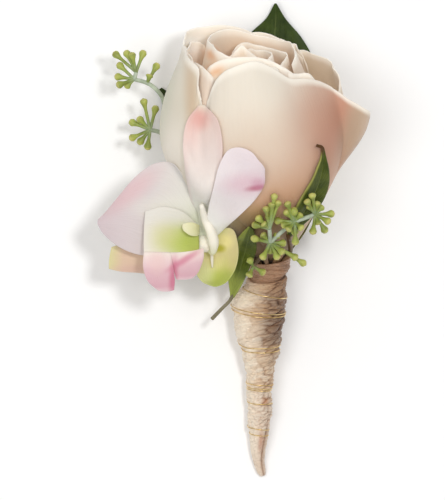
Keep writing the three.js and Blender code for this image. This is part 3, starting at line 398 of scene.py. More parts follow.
class Shade:
    """A material, built node by node."""

    def __init__(self, name, inputs):
        self.material = bpy.data.materials.new(name)
        self.material.use_nodes = True
        self.tree = self.material.node_tree
        self.shader = self.tree.nodes["Principled BSDF"]
        for key, value in inputs.items():
            self.feed(self.shader.inputs[key], value)
        self.tint = None
        self.relief = None
        self.painted_glow = 0.0

    def feed(self, socket, value):
        if isinstance(value, bpy.types.NodeSocket):
            self.tree.links.new(value, socket)
        else:
            socket.default_value = value

    def node(self, kind, inputs, output=0, **settings):
        """Adds a node and gives its output, by number or name, as its inputs are given."""
        made = self.tree.nodes.new(kind)
        for key, value in settings.items():
            setattr(made, key, value)
        for key, value in inputs.items():
            self.feed(made.inputs[key], value)
        return made.outputs[output]

    def math(self, operation, *values):
        return self.node("ShaderNodeMath", dict(enumerate(values)), operation=operation)

    def times(self, first, second):
        return self.math("MULTIPLY", first, second)

    def attribute(self, name):
        return self.node("ShaderNodeAttribute", {}, "Fac", attribute_name=name)

    def place(self, stretch=(1, 1, 1)):
        """Position in millimetres, stretched."""
        where = self.node("ShaderNodeTexCoord", {}, "Object")
        return self.node("ShaderNodeMapping", {"Vector": where, "Scale": [k / MM for k in stretch]})

    def noise(self, where, scale, detail=3.0, roughness=0.5, distortion=0.0):
        inputs = {"Vector": where, "Scale": scale, "Detail": detail}
        inputs |= {"Roughness": roughness, "Distortion": distortion}
        return self.node("ShaderNodeTexNoise", inputs, "Fac")

    def span(self, value, low, high, to_low=0.0, to_high=1.0):
        """value from low to high, eased to to_low to to_high."""
        inputs = dict(enumerate((value, low, high, to_low, to_high)))
        return self.node("ShaderNodeMapRange", inputs, interpolation_type="SMOOTHSTEP")

    def ramp(self, value, stops):
        """Colours along a value, from stops (place, red, green, blue)."""
        made = self.tree.nodes.new("ShaderNodeValToRGB")
        elements = made.color_ramp.elements
        while len(elements) < len(stops):
            elements.new(0.5)
        for element, (position, *colour) in zip(elements, stops):
            element.position = position
            element.color = linear(*colour)
        self.feed(made.inputs[0], value)
        return made.outputs["Color"]

    def mix(self, amount, first, second):
        inputs = {"Factor": amount, "A": first, "B": second}
        return self.node("ShaderNodeMix", inputs, "Result", data_type="RGBA")

    def paint(self, value, stops):
        """The first coat, a ramp of colours along a value."""
        self.tint = self.ramp(value, stops)

    def over(self, amount, colour):
        """Paints over what is there."""
        self.tint = self.mix(amount, self.tint, linear(*colour))

    def coat(self, value, low, high, amount, colour):
        """Paints over, from nothing where the value is low up to an amount where it is high."""
        self.over(self.span(value, low, high, 0.0, amount), colour)

    def turned(self, first, second, cos, sin):
        return self.math("ADD", self.times(first, cos), self.times(second, sin))

    def spot(self, x, y, wide, long, slant, soft):
        """1 inside an ellipse of the plan, 0 outside, in millimetres and degrees."""
        xyz = self.tree.nodes.new("ShaderNodeSeparateXYZ")
        self.feed(xyz.inputs[0], self.place())
        dx = self.math("SUBTRACT", xyz.outputs[0], x + TO_MIDDLE[0])
        dy = self.math("SUBTRACT", xyz.outputs[1], y + TO_MIDDLE[1])
        cos, sin = math.cos(math.radians(slant)), math.sin(math.radians(slant))
        across = self.math("DIVIDE", self.turned(dx, dy, cos, sin), wide)
        up = self.math("DIVIDE", self.turned(dy, dx, cos, -sin), long)
        squares = self.math("ADD", self.times(across, across), self.times(up, up))
        return self.span(self.math("SQRT", squares), 1 - soft, 1 + soft, 1.0, 0.0)

    def stain(self, x, y, wide, long, colour, amount, slant=0.0, soft=0.8):
        """A soft patch at a place in the plan, of so much half width and half length."""
        self.over(self.times(self.spot(x, y, wide, long, slant, soft), amount), colour)

    def bump(self, height, distance):
        """Adds to the relief, by a height from 0 to 1 times a distance in millimetres."""
        inputs = {"Distance": distance * MM, "Height": height}
        if self.relief is not None:
            inputs["Normal"] = self.relief
        self.relief = self.node("ShaderNodeBump", inputs)

    def grain(self, scale, detail, depth):
        self.bump(self.noise(self.place(), scale, detail), depth)

    def done(self):
        if self.tint is not None:
            self.feed(self.shader.inputs["Base Color"], self.tint)
        # Painted light: an emission of the surface's own colour, which lifts its shade.
        if self.painted_glow:
            self.feed(self.shader.inputs["Emission Color"], self.tint)
            self.shader.inputs["Emission Strength"].default_value = self.painted_glow
        if self.relief is not None:
            self.feed(self.shader.inputs["Normal"], self.relief)
        return self.material


def petal_shade(name, scatter, roughness):
    """The shader of every petal."""
    return Shade(
        name,
        {
            "Roughness": roughness, "Subsurface Weight": scatter, "Subsurface Radius": (1.8, 1.6, 1.4),
            "Subsurface Scale": MM, "Specular IOR Level": 0.25, "Sheen Weight": 0.15,
            "Sheen Roughness": 0.5,
        },
    )


def petal_veins(s, depth=0.05, lines=70.0):
    """Fine lengthwise veins, and a grain."""
    aside, along = s.times(s.attribute("aside"), lines), s.times(s.attribute("along"), 3.0)
    where = s.node("ShaderNodeCombineXYZ", {"X": aside, "Y": along})
    s.bump(s.noise(where, 1.0, 2.0), depth)
    s.grain(3.5, 3.0, 0.012)


# The rose.

ROSE_HEIGHT = 63
PETAL_FOOT = 0.5  # a petal's width at its foot, as a share of the width at its rim
RIM_WAVE = 0.25  # how high a rim's slow waves are, how far it rolls out, and how high its frill is
RIM_ROLL = 0.35
RIM_FRILL = 0.12
ROSE_AXIS = np.array(
    [
        -math.sin(ROSE_LEAN) * math.cos(ROSE_TILT),
        math.cos(ROSE_LEAN) * math.cos(ROSE_TILT),
        math.sin(ROSE_TILT),
    ]
)
ROSE_RIGHT = np.array([math.cos(ROSE_LEAN), math.sin(ROSE_LEAN), 0.0])
ROSE_FRONT = np.cross(ROSE_RIGHT, ROSE_AXIS)

BULB = smooth_knots(
    [
        [0, 2.6], [5, 7.6], [12, 12.6], [18, 16.8], [26, 21.2], [33, 23.6], [40, 24.3], [48, 23.4],
        [56, 20.8], [ROSE_HEIGHT, 18],
    ]
)


def bulb_radius(height):
    return BULB(height)[..., 0]


def rose_point(turn, radius, height):
    """A point in the bloom from its turn about the axis, its radius and its height up the axis."""
    turn, radius, height = np.broadcast_arrays(turn, radius, height)
    return (
        ROSE_BASE
        + ROSE_AXIS * height[..., None]
        + ROSE_RIGHT * (radius * np.sin(turn))[..., None]
        + ROSE_FRONT * (radius * np.cos(turn))[..., None]
    )


def beside_rose(turn, height, stand):
    """A point that stands off the outermost petals."""
    return rose_point(turn, bulb_radius(height) * OUTERMOST + PETAL_THICK / 2 + stand, height)


def rose_petal(rim, layer, material, depart=0.55, rows=40, columns=44):
    """One petal. rim holds [turn, radius, height] along its free edge, left to right. The petal keeps
    to its layer of the bud, and departs from it part of the way up."""
    rim_at = smooth_knots(evenly(rim))
    middle = (rim[0][0] + rim[-1][0]) / 2

    def read(u, v):
        s = (v + 1) / 2
        turn_rim, radius_rim, height_rim = np.moveaxis(rim_at(s), -1, 0)
        spread = PETAL_FOOT + (1 - PETAL_FOOT) * risen(u, 0, 0.6)
        turn = middle + (turn_rim - middle) * spread
        height = height_rim * u
        away = radius_rim - bulb_radius(height_rim) * layer
        # Slow waves, then a rolled rim and a fine frill on it.
        waves = RIM_WAVE * np.sin(s * 19 + middle) * u**6
        radius = bulb_radius(height) * layer + away * risen(u, depart, 1 - depart) + waves
        radius = radius + RIM_ROLL * risen(u, 0.93, 0.07) * (0.6 + 0.4 * np.sin(s * 23 + 2 * middle))
        radius = radius + RIM_FRILL * np.sin(s * 71 + middle) * np.sin(s * 37) * risen(u, 0.8, 0.2)
        return turn, radius, height

    def surface(u, v):
        turn, radius, height = read(u, v)
        return rose_point(np.radians(turn), radius, height)

    us, vs = grid_steps(rows, 1.35), side_steps(columns)
    _, _, height = read(*np.meshgrid(us, vs, indexing="ij"))
    return sheet(surface, us, vs, PETAL_THICK, material, rim=0.35, extra={"height": height})


def rose_shade(name, stops, scatter=0.2, painted_glow=0.0):
    """painted_glow is an emission, painted light that stands in for the light through the thin petals."""
    s = petal_shade(name, scatter, 0.55)
    s.painted_glow = painted_glow
    s.paint(s.math("DIVIDE", s.attribute("height"), ROSE_HEIGHT), stops)
    return s


def foot_tint_and_shade(s):
    """Towards the stalk the petals turn a dull green-brown, with painted shade over it from the sprays
    laid on them.
    """
    s.stain(7.6, 5.6, 6.6, 3.2, (164, 134, 76), 0.75, slant=-14)
    s.stain(3.8, 2.4, 6.0, 3.8, (110, 90, 42), 0.9, soft=0.7)
    s.stain(10.0, 0.0, 9.0, 6.0, (132, 100, 66), 0.75)
    s.stain(10.6, -4.4, 5.4, 3.4, (122, 92, 60), 0.9, soft=0.4)


def rose_rim(s, amount):
    """The rim is thinner and paler."""
    # The foot's own colour, with painted shade over it.
    foot_tint_and_shade(s)
    rim = s.span(s.attribute("along"), 0.955, 0.995)
    s.over(s.times(rim, amount), (252, 244, 230))
    petal_veins(s)
    return s.done()


def guard_right_shade():
    s = rose_shade(
        "rose_guard_right",
        [(0.0, 206, 196, 158), (0.3, 222, 194, 168), (0.7, 228, 215, 198), (1.0, 229, 220, 205)],
    )
    # Brown-pink blush on the right and low in front: partly the petal's own colour, partly painted shade,
    # darkest in the fold before the flared tip.
    s.stain(25.0, 32.0, 9.0, 16.0, (190, 140, 116), 0.84, slant=-14, soft=0.85)
    s.stain(27.6, 28.0, 3.8, 13.0, (186, 132, 108), 0.7, slant=-12)
    s.stain(13.0, 10.0, 15.0, 8.0, (202, 148, 110), 0.72, slant=20, soft=0.85)
    s.stain(8.0, 24.0, 9.0, 8.0, (216, 190, 168), 0.5, soft=0.9)
    s.stain(32.8, 31.0, 2.8, 10.0, (176, 154, 130), 0.75, slant=-18)
    return rose_rim(s, 0.8)


def guard_left_shade():
    s = rose_shade(
        "rose_guard_left",
        [(0.0, 204, 203, 160), (0.35, 226, 216, 198), (0.7, 214, 205, 186), (1.0, 230, 221, 204)],
    )
    # Painted shadow: a tan stripe that the slit's petal casts near this guard's front edge.
    s.stain(-10.6, 38.5, 1.7, 12.0, (206, 180, 150), 0.8, slant=2, soft=0.9)
    s.stain(-18.0, 37.0, 2.0, 14.0, (206, 206, 184), 0.6, slant=-8)
    s.stain(-14.7, 24.4, 3.6, 7.0, (242, 232, 218), 0.7)
    return rose_rim(s, 0.85)


def slit_shade():
    s = rose_shade("rose_slit", [(0.0, 206, 190, 150), (0.7, 226, 204, 182), (1.0, 238, 220, 204)])
    return rose_rim(s, 0.7)


def back_shade():
    s = rose_shade(
        "rose_back",
        [(0.0, 206, 200, 170), (0.6, 222, 206, 184), (0.85, 230, 216, 200), (1.0, 236, 228, 214)],
        scatter=0.3, painted_glow=0.1,
    )
    # Painted light on the inner face of the left back petal; orange painted as the warm shade in a deep
    # crevice; painted shade in the hollow on the right.
    s.stain(-11.0, 52.0, 4.0, 2.6, (252, 248, 240), 1.0)
    s.stain(-5.4, 49.3, 1.8, 2.4, (226, 172, 126), 0.7)
    s.stain(22.0, 45.0, 8.0, 4.5, (206, 190, 168), 0.6, slant=-30)
    return rose_rim(s, 0.8)


def heart_shade():
    s = rose_shade(
        "rose_heart",
        [(0.0, 206, 190, 160), (0.6, 226, 198, 170), (0.85, 226, 207, 188), (1.0, 230, 216, 198)],
        scatter=0.3, painted_glow=0.08,
    )
    # Orange painted as the warm shade in two deep crevices.
    s.stain(-4.4, 45.2, 2.2, 1.8, (232, 178, 134), 0.8)
    s.stain(-5.2, 49.4, 1.5, 1.7, (222, 164, 118), 0.8)
    s.stain(3.0, 51.0, 3.4, 2.0, (232, 202, 172), 0.5)
    # Painted shade: greyer in the hollow on the right.
    s.stain(18.3, 43.6, 5.0, 1.8, (204, 186, 166), 0.7, slant=-25)
    return rose_rim(s, 0.8)


GUARD_RIGHT = guard_right_shade()
GUARD_LEFT = guard_left_shade()
SLIT = slit_shade()
BACK = back_shade()
HEART = heart_shade()

ROSE_PETALS = [
    # Inside the left guard, its inner face turned up.
    dict(
        material=BACK, layer=0.66, depart=0.5, rows=40, columns=60,
        rim=[
            [-142, 16.6, 55.5], [-134, 16.9, 58.6], [-120, 16.6, 60.2], [-106, 16.1, 60.5],
            [-92, 15.7, 60.6], [-78, 15.7, 60.2], [-64, 15.5, 58.8], [-52, 15.2, 56.6],
        ],
    ),
    # The two guards, front right with its pointed reflexed tip, and left.
    dict(
        material=GUARD_RIGHT, layer=1.0, rows=56, columns=90,
        rim=[
            [-38, 20.9, 49.5], [-34, 20.5, 53.3], [-28, 20, 57.8], [-19, 19.2, 60.8], [-5, 18.4, 62.4],
            [6, 18.1, 62.3], [19, 18, 59.7], [33, 18.2, 55.8], [47, 18.8, 54.5], [60, 20.4, 52.3],
            [69, 22.8, 49.4], [71, 26.5, 45.8], [74, 30.8, 42], [90, 28, 38], [108, 25.3, 35],
        ],
    ),
    dict(
        material=GUARD_LEFT, layer=OUTERMOST, rows=56, columns=72,
        rim=[
            [-152, 20.6, 51], [-130, 19, 57.6], [-107, 17, 60.8], [-88, 16.4, 62], [-70, 16.8, 61.8],
            [-55, 17.6, 61], [-47, 18.6, 59.8], [-44, 19.6, 57], [-42, 20.4, 54], [-40, 20.9, 51],
        ],
    ),
    # The second layer, seen in the slit between the guards.
    dict(
        material=SLIT, layer=0.955, rows=40, columns=44,
        rim=[
            [-96, 16.6, 57.5], [-78, 16.2, 59.4], [-56, 16.2, 60.4], [-40, 17.2, 59.2], [-33, 16.8, 57],
            [-20, 16.6, 55.2], [-2, 16, 53],
        ],
    ),
    # The back, from left to right.
    dict(
        material=BACK, layer=0.955, rows=40, columns=60,
        rim=[
            [-192, 19, 55.8], [-178, 18.8, 58.6], [-166, 18.7, 60.3], [-156, 18.8, 61.2],
            [-146, 19, 61.4], [-138, 19.4, 61.8], [-128, 19.4, 62.2], [-117, 18, 62.2],
            [-104, 17, 60.6], [-90, 16, 59.2], [-74, 15.2, 58.4], [-60, 14.8, 57],
        ],
    ),
    dict(
        material=BACK, layer=0.985, rows=40, columns=44,
        rim=[
            [138, 20.6, 50], [146, 20.3, 53.6], [151, 20.1, 54.7], [156, 20, 55.4], [163, 19.8, 56.6],
            [172, 19.6, 57.1], [181, 19.5, 57.1], [192, 19.6, 55.6],
        ],
    ),
    dict(
        material=BACK, layer=0.97, rows=34, columns=20,
        rim=[
            [134, 21.2, 48], [140, 20.8, 52], [142, 20.6, 53.6], [146, 20.5, 53.9], [150, 20.3, 53],
            [153, 20.2, 50.5],
        ],
    ),
    dict(
        material=BACK, layer=0.95, rows=40, columns=56,
        rim=[
            [86, 22, 42], [89, 22.7, 47], [94, 22.6, 50.2], [103, 22.4, 50.6], [114, 22.2, 51.3],
            [127, 22, 51.5], [136, 21.8, 51.8], [143, 21.6, 51.6], [150, 21.4, 49],
        ],
    ),
    # The heart: two low bands in front, and a cup that opens towards the back with folds inside it.
    dict(
        material=HEART, layer=0.9, depart=0.45, rows=40, columns=44,
        rim=[
            [8, 15.6, 59.6], [20, 16.5, 59.6], [28, 16.9, 58.2], [37, 17.3, 56.7], [45, 17.8, 55.8],
            [52, 18.5, 55.4], [58, 19.1, 53.4], [66, 19.5, 49.6],
        ],
    ),
    dict(
        material=HEART, layer=0.86, depart=0.45, rows=40, columns=52,
        rim=[
            [-50, 15.2, 57.5], [-40, 16, 60.4], [-29, 15.2, 62.1], [-17, 14.6, 62.7], [-5, 14.3, 62.6],
            [8, 14.6, 62.3], [17, 15.4, 61.6], [25, 16.2, 60.2], [34, 16.8, 58], [43, 17.2, 55],
        ],
    ),
    dict(
        material=HEART, layer=0.72, depart=0.35, rows=44, columns=110,
        rim=[
            [-303, 13, 56.6], [-282, 12.3, 57.3], [-260, 12.3, 57.6], [-243, 12.5, 58.3],
            [-220, 13.5, 57.3], [-201, 14, 57.8], [-186, 14.4, 58.6], [-174, 15, 59.8],
            [-164, 15.3, 60.5], [-154, 14.9, 60.8], [-141, 13.4, 61.1], [-120, 11.2, 61.8],
            [-90, 10, 62.6], [-68, 10.1, 63.2], [-54, 10.6, 63.1], [-37, 11.4, 62.8], [-23, 12.2, 62.1],
            [-8, 12.4, 61.2], [9, 12.2, 60.2],
        ],
    ),
    dict(
        material=HEART, layer=0.6, depart=0.3, rows=30, columns=40,
        rim=[
            [40, 9.6, 54.5], [62, 9.6, 56.4], [90, 9.6, 57.2], [118, 9.3, 56.8], [146, 9.4, 56.5],
            [167, 9.9, 57.1], [180, 10.4, 57.8], [195, 9.9, 57.4], [207, 9.4, 56],
        ],
    ),
    dict(
        material=HEART, layer=0.5, depart=0.3, rows=30, columns=32,
        rim=[
            [30, 6.4, 56], [58, 6, 57.6], [88, 5.8, 58], [120, 5.8, 57.4], [154, 6.1, 57],
            [175, 6.4, 57.4], [190, 5.6, 56],
        ],
    ),
    dict(
        material=HEART, layer=0.4, depart=0.3, rows=30, columns=36,
        rim=[
            [-74, 7, 57], [-60, 7, 58.6], [-44, 6.6, 60], [-27, 5.6, 62], [-16, 4.9, 62.6],
            [-2, 4.7, 61.3], [20, 5.1, 59.2], [40, 6, 57.2],
        ],
    ),
]


ROSE_CORE = [[0, 2.6], [4, 6.3], [12, 12.0], [18, 14.6], [27, 13.5], [38, 8.5], [52, 2.4]]


def rose_lathe(profile, sides, material):
    """A round part on the rose's axis, from rows [height, radius]."""
    height, radius = np.moveaxis(smooth_knots(evenly(profile))(np.linspace(0, 1, 24)), -1, 0)
    turn = np.linspace(0, 2 * math.pi, sides, endpoint=False)
    rings = rose_point(turn[None, :], radius[:, None], height[:, None])
    return loops(rings, material, {"height": height[:, None]})


add_piece(
    "rose_bloom",
    [rose_lathe(ROSE_CORE, 40, HEART), *(rose_petal(**petal) for petal in ROSE_PETALS)],
    replaced=["rose_petals"],
)

# The wrapped handle: knots [distance down from its mouth, x, z, outer radius].

MOUTH_Y = -9.6
HANDLE = [
    [0, 9.5, 11.3, 5.2], [2.3, 8.8, 11.0, 5.35], [4.0, 8.2, 10.8, 6.1], [7.1, 7.2, 10.2, 7.0],
    [12.4, 7.1, 9.2, 6.4], [18.0, 7.4, 8.1, 5.35], [21.0, 7.5, 7.4, 4.6], [24.6, 7.4, 6.7, 3.65],
    [29.4, 7.3, 6.0, 3.25], [36.5, 7.3, 4.7, 3.0], [41.6, 7.2, 3.8, 2.55], [46.1, 7.1, 2.8, 1.95],
    [49.2, 7.3, 1.8, 1.5], [51.6, 7.9, 1.2, 1.2], [52.7, 8.3, 0.85, 0.8],
]
HANDLE_LENGTH = HANDLE[-1][0]
HANDLE_AT = smooth_knots(HANDLE)
LOOK_AHEAD = 4
SQUARE_TO_ROSE = 6  # how far down the handle's cross-section turns from the rose's to its own


def handle_middle(down):
    """The middle of the handle so far down from its mouth."""
    x, z, _ = np.moveaxis(HANDLE_AT(down), -1, 0)
    return np.stack([x, MOUTH_Y - np.asarray(down, float), z], -1)


def handle_frame(down):
    """The handle's middle there, its heading, and its right and front across that."""
    down = np.asarray(down, float)
    onward = handle_middle(np.minimum(down + LOOK_AHEAD, HANDLE_LENGTH))
    heading = unit(onward - handle_middle(np.maximum(down - LOOK_AHEAD, 0)))
    share = (1 - risen(down, 0, SQUARE_TO_ROSE))[..., None]
    heading = unit(heading * (1 - share) - ROSE_AXIS * share)
    right = unit(np.cross(np.array([0, 0, 1.0]), heading))
    return handle_middle(down), heading, right, np.cross(heading, right)


def handle_point(down, turn, distance):
    middle, _, right, front = handle_frame(down)
    distance = np.asarray(distance, float)
    aside, ahead = distance * np.sin(turn), distance * np.cos(turn)
    return middle + right * aside[..., None] + front * ahead[..., None]


def handle_radius(down):
    return HANDLE_AT(down)[..., 2]


RIBBON_PITCH = 7.8
RIBBON_STEP = 0.4
RIBBON_WALL = 0.8
RIBBON_PINCHED = [6.4, 8.8, 18.6, 29.0]  # how far down the wire pulls the satin in, and a tan shade is painted beside it
BORE_DEPTH = 37
NARROWEST_BORE = 1.95
TABLE_GAP = 0.02

# The satin is bunched into pillows: [how long, how many around, slant, seed].
WIDE_FOLDS = [4.8, 8, 1.0, 3]
SLIM_FOLDS = [3.2, 5, -1.0, 13]
SMALL_FOLDS = [1.35, 11, 1.0, 23]
FINE_FOLDS = [0.9, 23, -1.0, 33]
NECK_FOLDS = [2.2, 6, 2.0, 43]
NECK_SMALL_FOLDS = [0.9, 13, 3.0, 53]
ROW_STRIDE = 57  # how much higher the pillows' numbers are in each next row
FAR = 9.0  # further off than any pillow's middle
SLIM_FROM = 18  # how far down the pillows start to get slim, the tail gets calm, and its long fold starts
TAIL_FROM = 36
TAIL_FOLD_FROM = 38
TAIL_FOLD_DEPTH = 0.4
SWELL_LEVEL = 0.6  # the swell that leaves the handle's radius as it is


def hashed(cell, seed):
    """A repeatable number from 0 to 1 for each whole number."""
    value = np.sin(cell * 12.9898 + seed * 78.233) * 43758.5453
    return value - np.floor(value)


def pillows(down, turn, long, count, slant, seed):
    """For each point, how far in from the nearest crease it is, and the tone of the pillow it is on."""
    x = down / long
    y = turn / (2 * math.pi) * count + slant * x
    column, row = np.floor(x), np.floor(y)
    # Each pillow's middle is somewhere in its own cell.
    nearest, second = np.full(x.shape, FAR), np.full(x.shape, FAR)
    tone = np.zeros(x.shape)
    for dx in (-1, 0, 1):
        for dy in (-1, 0, 1):
            round_row = np.mod(row + dy - np.round(slant * (column + dx)), count)
            cell = column + dx + round_row * ROW_STRIDE
            across = column + dx + 0.15 + 0.7 * hashed(cell, seed) - x
            up = row + dy + 0.15 + 0.7 * hashed(cell, seed + 1) - y
            distance = np.sqrt(across**2 + up**2)
            closer = distance < nearest
            second = np.where(closer, nearest, np.minimum(second, distance))
            tone = np.where(closer, hashed(cell, seed + 2), tone)
            nearest = np.where(closer, distance, nearest)
    return second - nearest, tone


def swollen(inward, width):
    """How far a pillow stands out, rounded from its crease to a width further in."""
    return np.sqrt(np.clip(inward / width, 0, 1))


def creased(inward, width):
    """1 in a crease, 0 from a width further in."""
    return 1 - risen(inward, 0, width)


def ribbon_step(down, turn):
    """Each turn of the ribbon lies over the next one by its edge."""
    phase = down / RIBBON_PITCH + turn / (2 * math.pi)
    share = phase - np.floor(phase)
    return RIBBON_STEP * (risen(share, 0, 0.86) * (1 - risen(share, 0.9, 0.1)) - 0.45)


def tail_fold(down, turn):
    """One long fold down the front of the tail."""
    lane = 0.75 - 0.05 * (down - 44)
    return np.exp(-(((turn - lane) / 0.2) ** 2)) * risen(down, TAIL_FOLD_FROM, 4)


def ribbon_relief(down, turn):
    """Outer radius of the satin, how deep in a crease each point is, and the tone of its pillow.
    The satin lies in broad folds on the left, and is bunched into small wrinkles on the right."""
    # The pillows drift off their rows, and change from wide to slim on the way down.
    drift = 0.9 * np.sin(down * 0.9 + 2 * np.sin(turn)) + 0.5 * np.sin(down * 2.1 + 3 * turn)
    wide, wide_tone = pillows(down + drift, turn, *WIDE_FOLDS)
    slim, slim_tone = pillows(down + drift, turn, *SLIM_FOLDS)
    small, small_tone = pillows(down - 0.5 * drift, turn + 0.12 * np.sin(down * 1.7), *SMALL_FOLDS)
    fine, _ = pillows(down + 0.3 * drift, turn, *FINE_FOLDS)
    narrow = np.clip((down - SLIM_FROM) / 8, 0, 1)
    large = wide * (1 - narrow) + slim * narrow
    large_tone = wide_tone * (1 - narrow) + slim_tone * narrow

    right = smooth(np.sin(turn) * 0.9 + 0.45)
    calm = 1 - 0.8 * risen(down, TAIL_FROM, 8)
    fold = tail_fold(down, turn)
    swell = (0.55 - 0.15 * right) * swollen(large, 0.7)
    swell = swell + (0.14 + 0.52 * right) * swollen(small, 0.6) + 0.1 * swollen(fine, 0.6)
    fade = risen(HANDLE_LENGTH - down, 0, 8)
    relief = calm * (ribbon_step(down, turn) + swell - SWELL_LEVEL) - TAIL_FOLD_DEPTH * fold
    radius = handle_radius(down) + fade * relief

    # Crease shade is painted darker in some places, and most on the shaded right.
    here = 0.5 + 0.5 * np.sin(1.9 * down + 2.3 * turn) * np.sin(0.7 * down - 3.1 * turn + 1)
    crease = creased(large, 0.2) * (0.15 + 0.6 * here) * (0.35 + 0.65 * right)
    crease = crease + creased(small, 0.32) * (0.08 + 0.75 * right) * (1 - 0.5 * here)
    crease = np.clip(calm * crease + fold, 0, 1)
    # Each pillow's tone is painted light and shade on its facet, spread wider on the right.
    mixed = large_tone * 0.5 + small_tone * 0.5
    tone = 0.66 + (0.5 + 0.3 * right) * calm * 2 * (mixed - 0.5)
    return radius, crease, tone


def ribbon_shade():
    s = Shade(
        "ribbon_satin",
        {
            "Roughness": 0.32, "Specular IOR Level": 0.5, "Sheen Weight": 0.15, "Sheen Roughness": 0.35,
            "Sheen Tint": linear(255, 236, 214),
        },
    )
    # Painted light: a faint emission that lifts the satin's shade.
    s.painted_glow = 0.05
    down = s.attribute("down")
    crease = s.attribute("crease")
    # The pillows' tones run from shaded to lit satin: painted light and shade.
    s.paint(
        s.attribute("tone"),
        [(0.1, 232, 200, 166), (0.35, 240, 212, 180), (0.6, 246, 222, 194), (0.85, 252, 234, 210)],
    )
    # Painted shade on the right side, most in the upper part, and painted light on the left edge; lower
    # down the satin is painted lighter.
    right = s.span(s.attribute("rightward"), -0.6, 0.95)
    upper = s.span(down, 24, 13, 0.25, 1.0)
    shaded = s.times(right, upper)
    s.coat(down, 24, 34, 0.45, (254, 236, 218))
    s.coat(s.attribute("rightward"), 0.0, -0.8, 0.45, (255, 242, 220))
    s.over(s.times(shaded, 0.9), (98, 58, 30))
    # Painted shade under the rose: mauve-brown towards the mouth, and on the turn of satin above it.
    s.coat(down, 6.0, 2.0, 0.4, (192, 146, 104))
    s.coat(down, 0.6, -0.4, 0.72, (160, 114, 84))
    s.coat(down, 44, 50, 0.35, (214, 182, 156))
    # Painted shade: tan beside the wire's bands, where the satin puckers, patchy and weaker on the left.
    patchy = s.span(s.noise(s.place((0.5, 1.0, 0.5)), 0.9, 3.0), 0.35, 0.65, 0.0, 0.45)
    patchy = s.times(patchy, s.span(s.attribute("rightward"), -0.8, 0.2, 0.3, 1.0))
    for band in RIBBON_PINCHED:
        near = s.span(s.math("ABSOLUTE", s.math("SUBTRACT", down, band)), 0.4, 2.0, 1.0, 0.0)
        s.over(s.times(near, patchy), (204, 156, 106))
    # Painted shade in the creases, darkest on the shaded right.
    s.over(s.times(crease, 0.6), (172, 114, 72))
    s.over(s.times(crease, shaded), (54, 28, 12))
    # Orange-brown painted shade in the tail's folds.
    s.stain(8.9, -42.6, 0.9, 1.0, (184, 116, 66), 0.6, soft=0.9)
    s.stain(7.8, -53.4, 0.6, 2.4, (192, 122, 86), 0.6, slant=-6, soft=0.9)
    s.bump(s.math("SINE", s.times(down, 54.0)), 0.012)
    s.bump(s.noise(s.place((0.8, 1.5, 0.8)), 1.1, 4.0, 0.6, 0.6), 0.7)
    return s.done()


def ring_grid(lengthwise, sides):
    """Places along something round, and turns about it, as two grids."""
    turn = np.linspace(0, 2 * math.pi, sides, endpoint=False)
    return np.meshgrid(lengthwise, turn, indexing="ij")


def ribbon_wrap(material):
    """The wound satin, open at its mouth, with the stalks' bore inside."""
    down, turn = ring_grid(np.linspace(0, HANDLE_LENGTH, 380), 180)
    outer, crease, tone = ribbon_relief(down, turn)
    outside = handle_point(down, turn, outer)
    outside[..., 2] = np.maximum(outside[..., 2], TABLE_GAP)
    inner_down, inner_turn = ring_grid(np.linspace(BORE_DEPTH, 0, 40), 180)
    bore = np.maximum(handle_radius(inner_down) - RIBBON_WALL, NARROWEST_BORE)
    inside = handle_point(inner_down, inner_turn, bore)
    rings = np.concatenate([outside[::-1], inside[::-1]])
    # The bore's inside is painted as full crease shade.
    extra = {
        "down": np.concatenate([down[::-1], inner_down[::-1]]),
        "rightward": np.sin(np.concatenate([turn[::-1], inner_turn[::-1]])),
        "crease": np.concatenate([crease[::-1], np.ones_like(inner_down)]),
        "tone": np.concatenate([tone[::-1], np.zeros_like(inner_down)]),
    }
    return loops(rings, material, extra)


# The ribbon's first turn, which comes out of the mouth and closes on the stalks below the rose: knots
# [share of the way, outer radius].
NECK = [[0, 4.32], [0.18, 4.36], [0.3, 4.75], [0.5, 5.0], [0.75, 5.15], [0.9, 5.6], [1, 5.85]]
NECK_WALL = 0.18
NECK_TUCKED = 1.2  # how far down inside the mouth it starts
NECK_BEND = -2.2  # heights on the rose's axis, for its bend and its top
NECK_TOP = 0.9
NECK_LENGTH = 6


def neck_turn(material):
    """A loose sleeve of satin round the stalks."""
    share, turn = ring_grid(np.linspace(0, 1, 44), 140)
    foot = handle_middle(np.array(NECK_TUCKED))
    mouth = handle_middle(np.array(0.0))
    middle = Route([foot, mouth, rose_point(0, 0, NECK_BEND), rose_point(0, 0, NECK_TOP)]).even(share)
    radius = smooth_knots(NECK)(share)[..., 0]
    fold, tone = pillows(share * NECK_LENGTH, turn, *NECK_FOLDS)
    small, _ = pillows(share * NECK_LENGTH, turn, *NECK_SMALL_FOLDS)
    swell = 0.32 * swollen(fold, 0.6) + 0.12 * swollen(small, 0.6)
    outer = radius + swell * risen(share, 0.25, 0.15)
    across = ROSE_RIGHT * np.sin(turn)[..., None] + ROSE_FRONT * np.cos(turn)[..., None]
    outside = middle + across * outer[..., None]
    inside = middle + across * (radius - NECK_WALL)[..., None]
    crease = 0.8 * creased(fold, 0.22) + 0.4 * creased(small, 0.25)
    down = 0.5 - 5 * share  # for the shade, in which it is less than 0 above the mouth
    # Its creases and all of its inside are painted as crease shade.
    extra = {
        "down": np.concatenate([down, down[::-1]]),
        "rightward": np.sin(np.concatenate([turn, turn])) * 0.3 - 0.1,
        "crease": np.concatenate([np.clip(crease, 0, 1), np.ones_like(crease)]),
        "tone": np.concatenate([0.35 + 0.3 * tone, np.zeros_like(tone)]),
    }
    return sleeve(np.concatenate([outside, inside[::-1]]), material, extra)


satin = ribbon_shade()
add_piece("satin_ribbon", [ribbon_wrap(satin), neck_turn(satin)], replaced=["ribbon_wrap"])

# The wire, pulled tight over the satin.

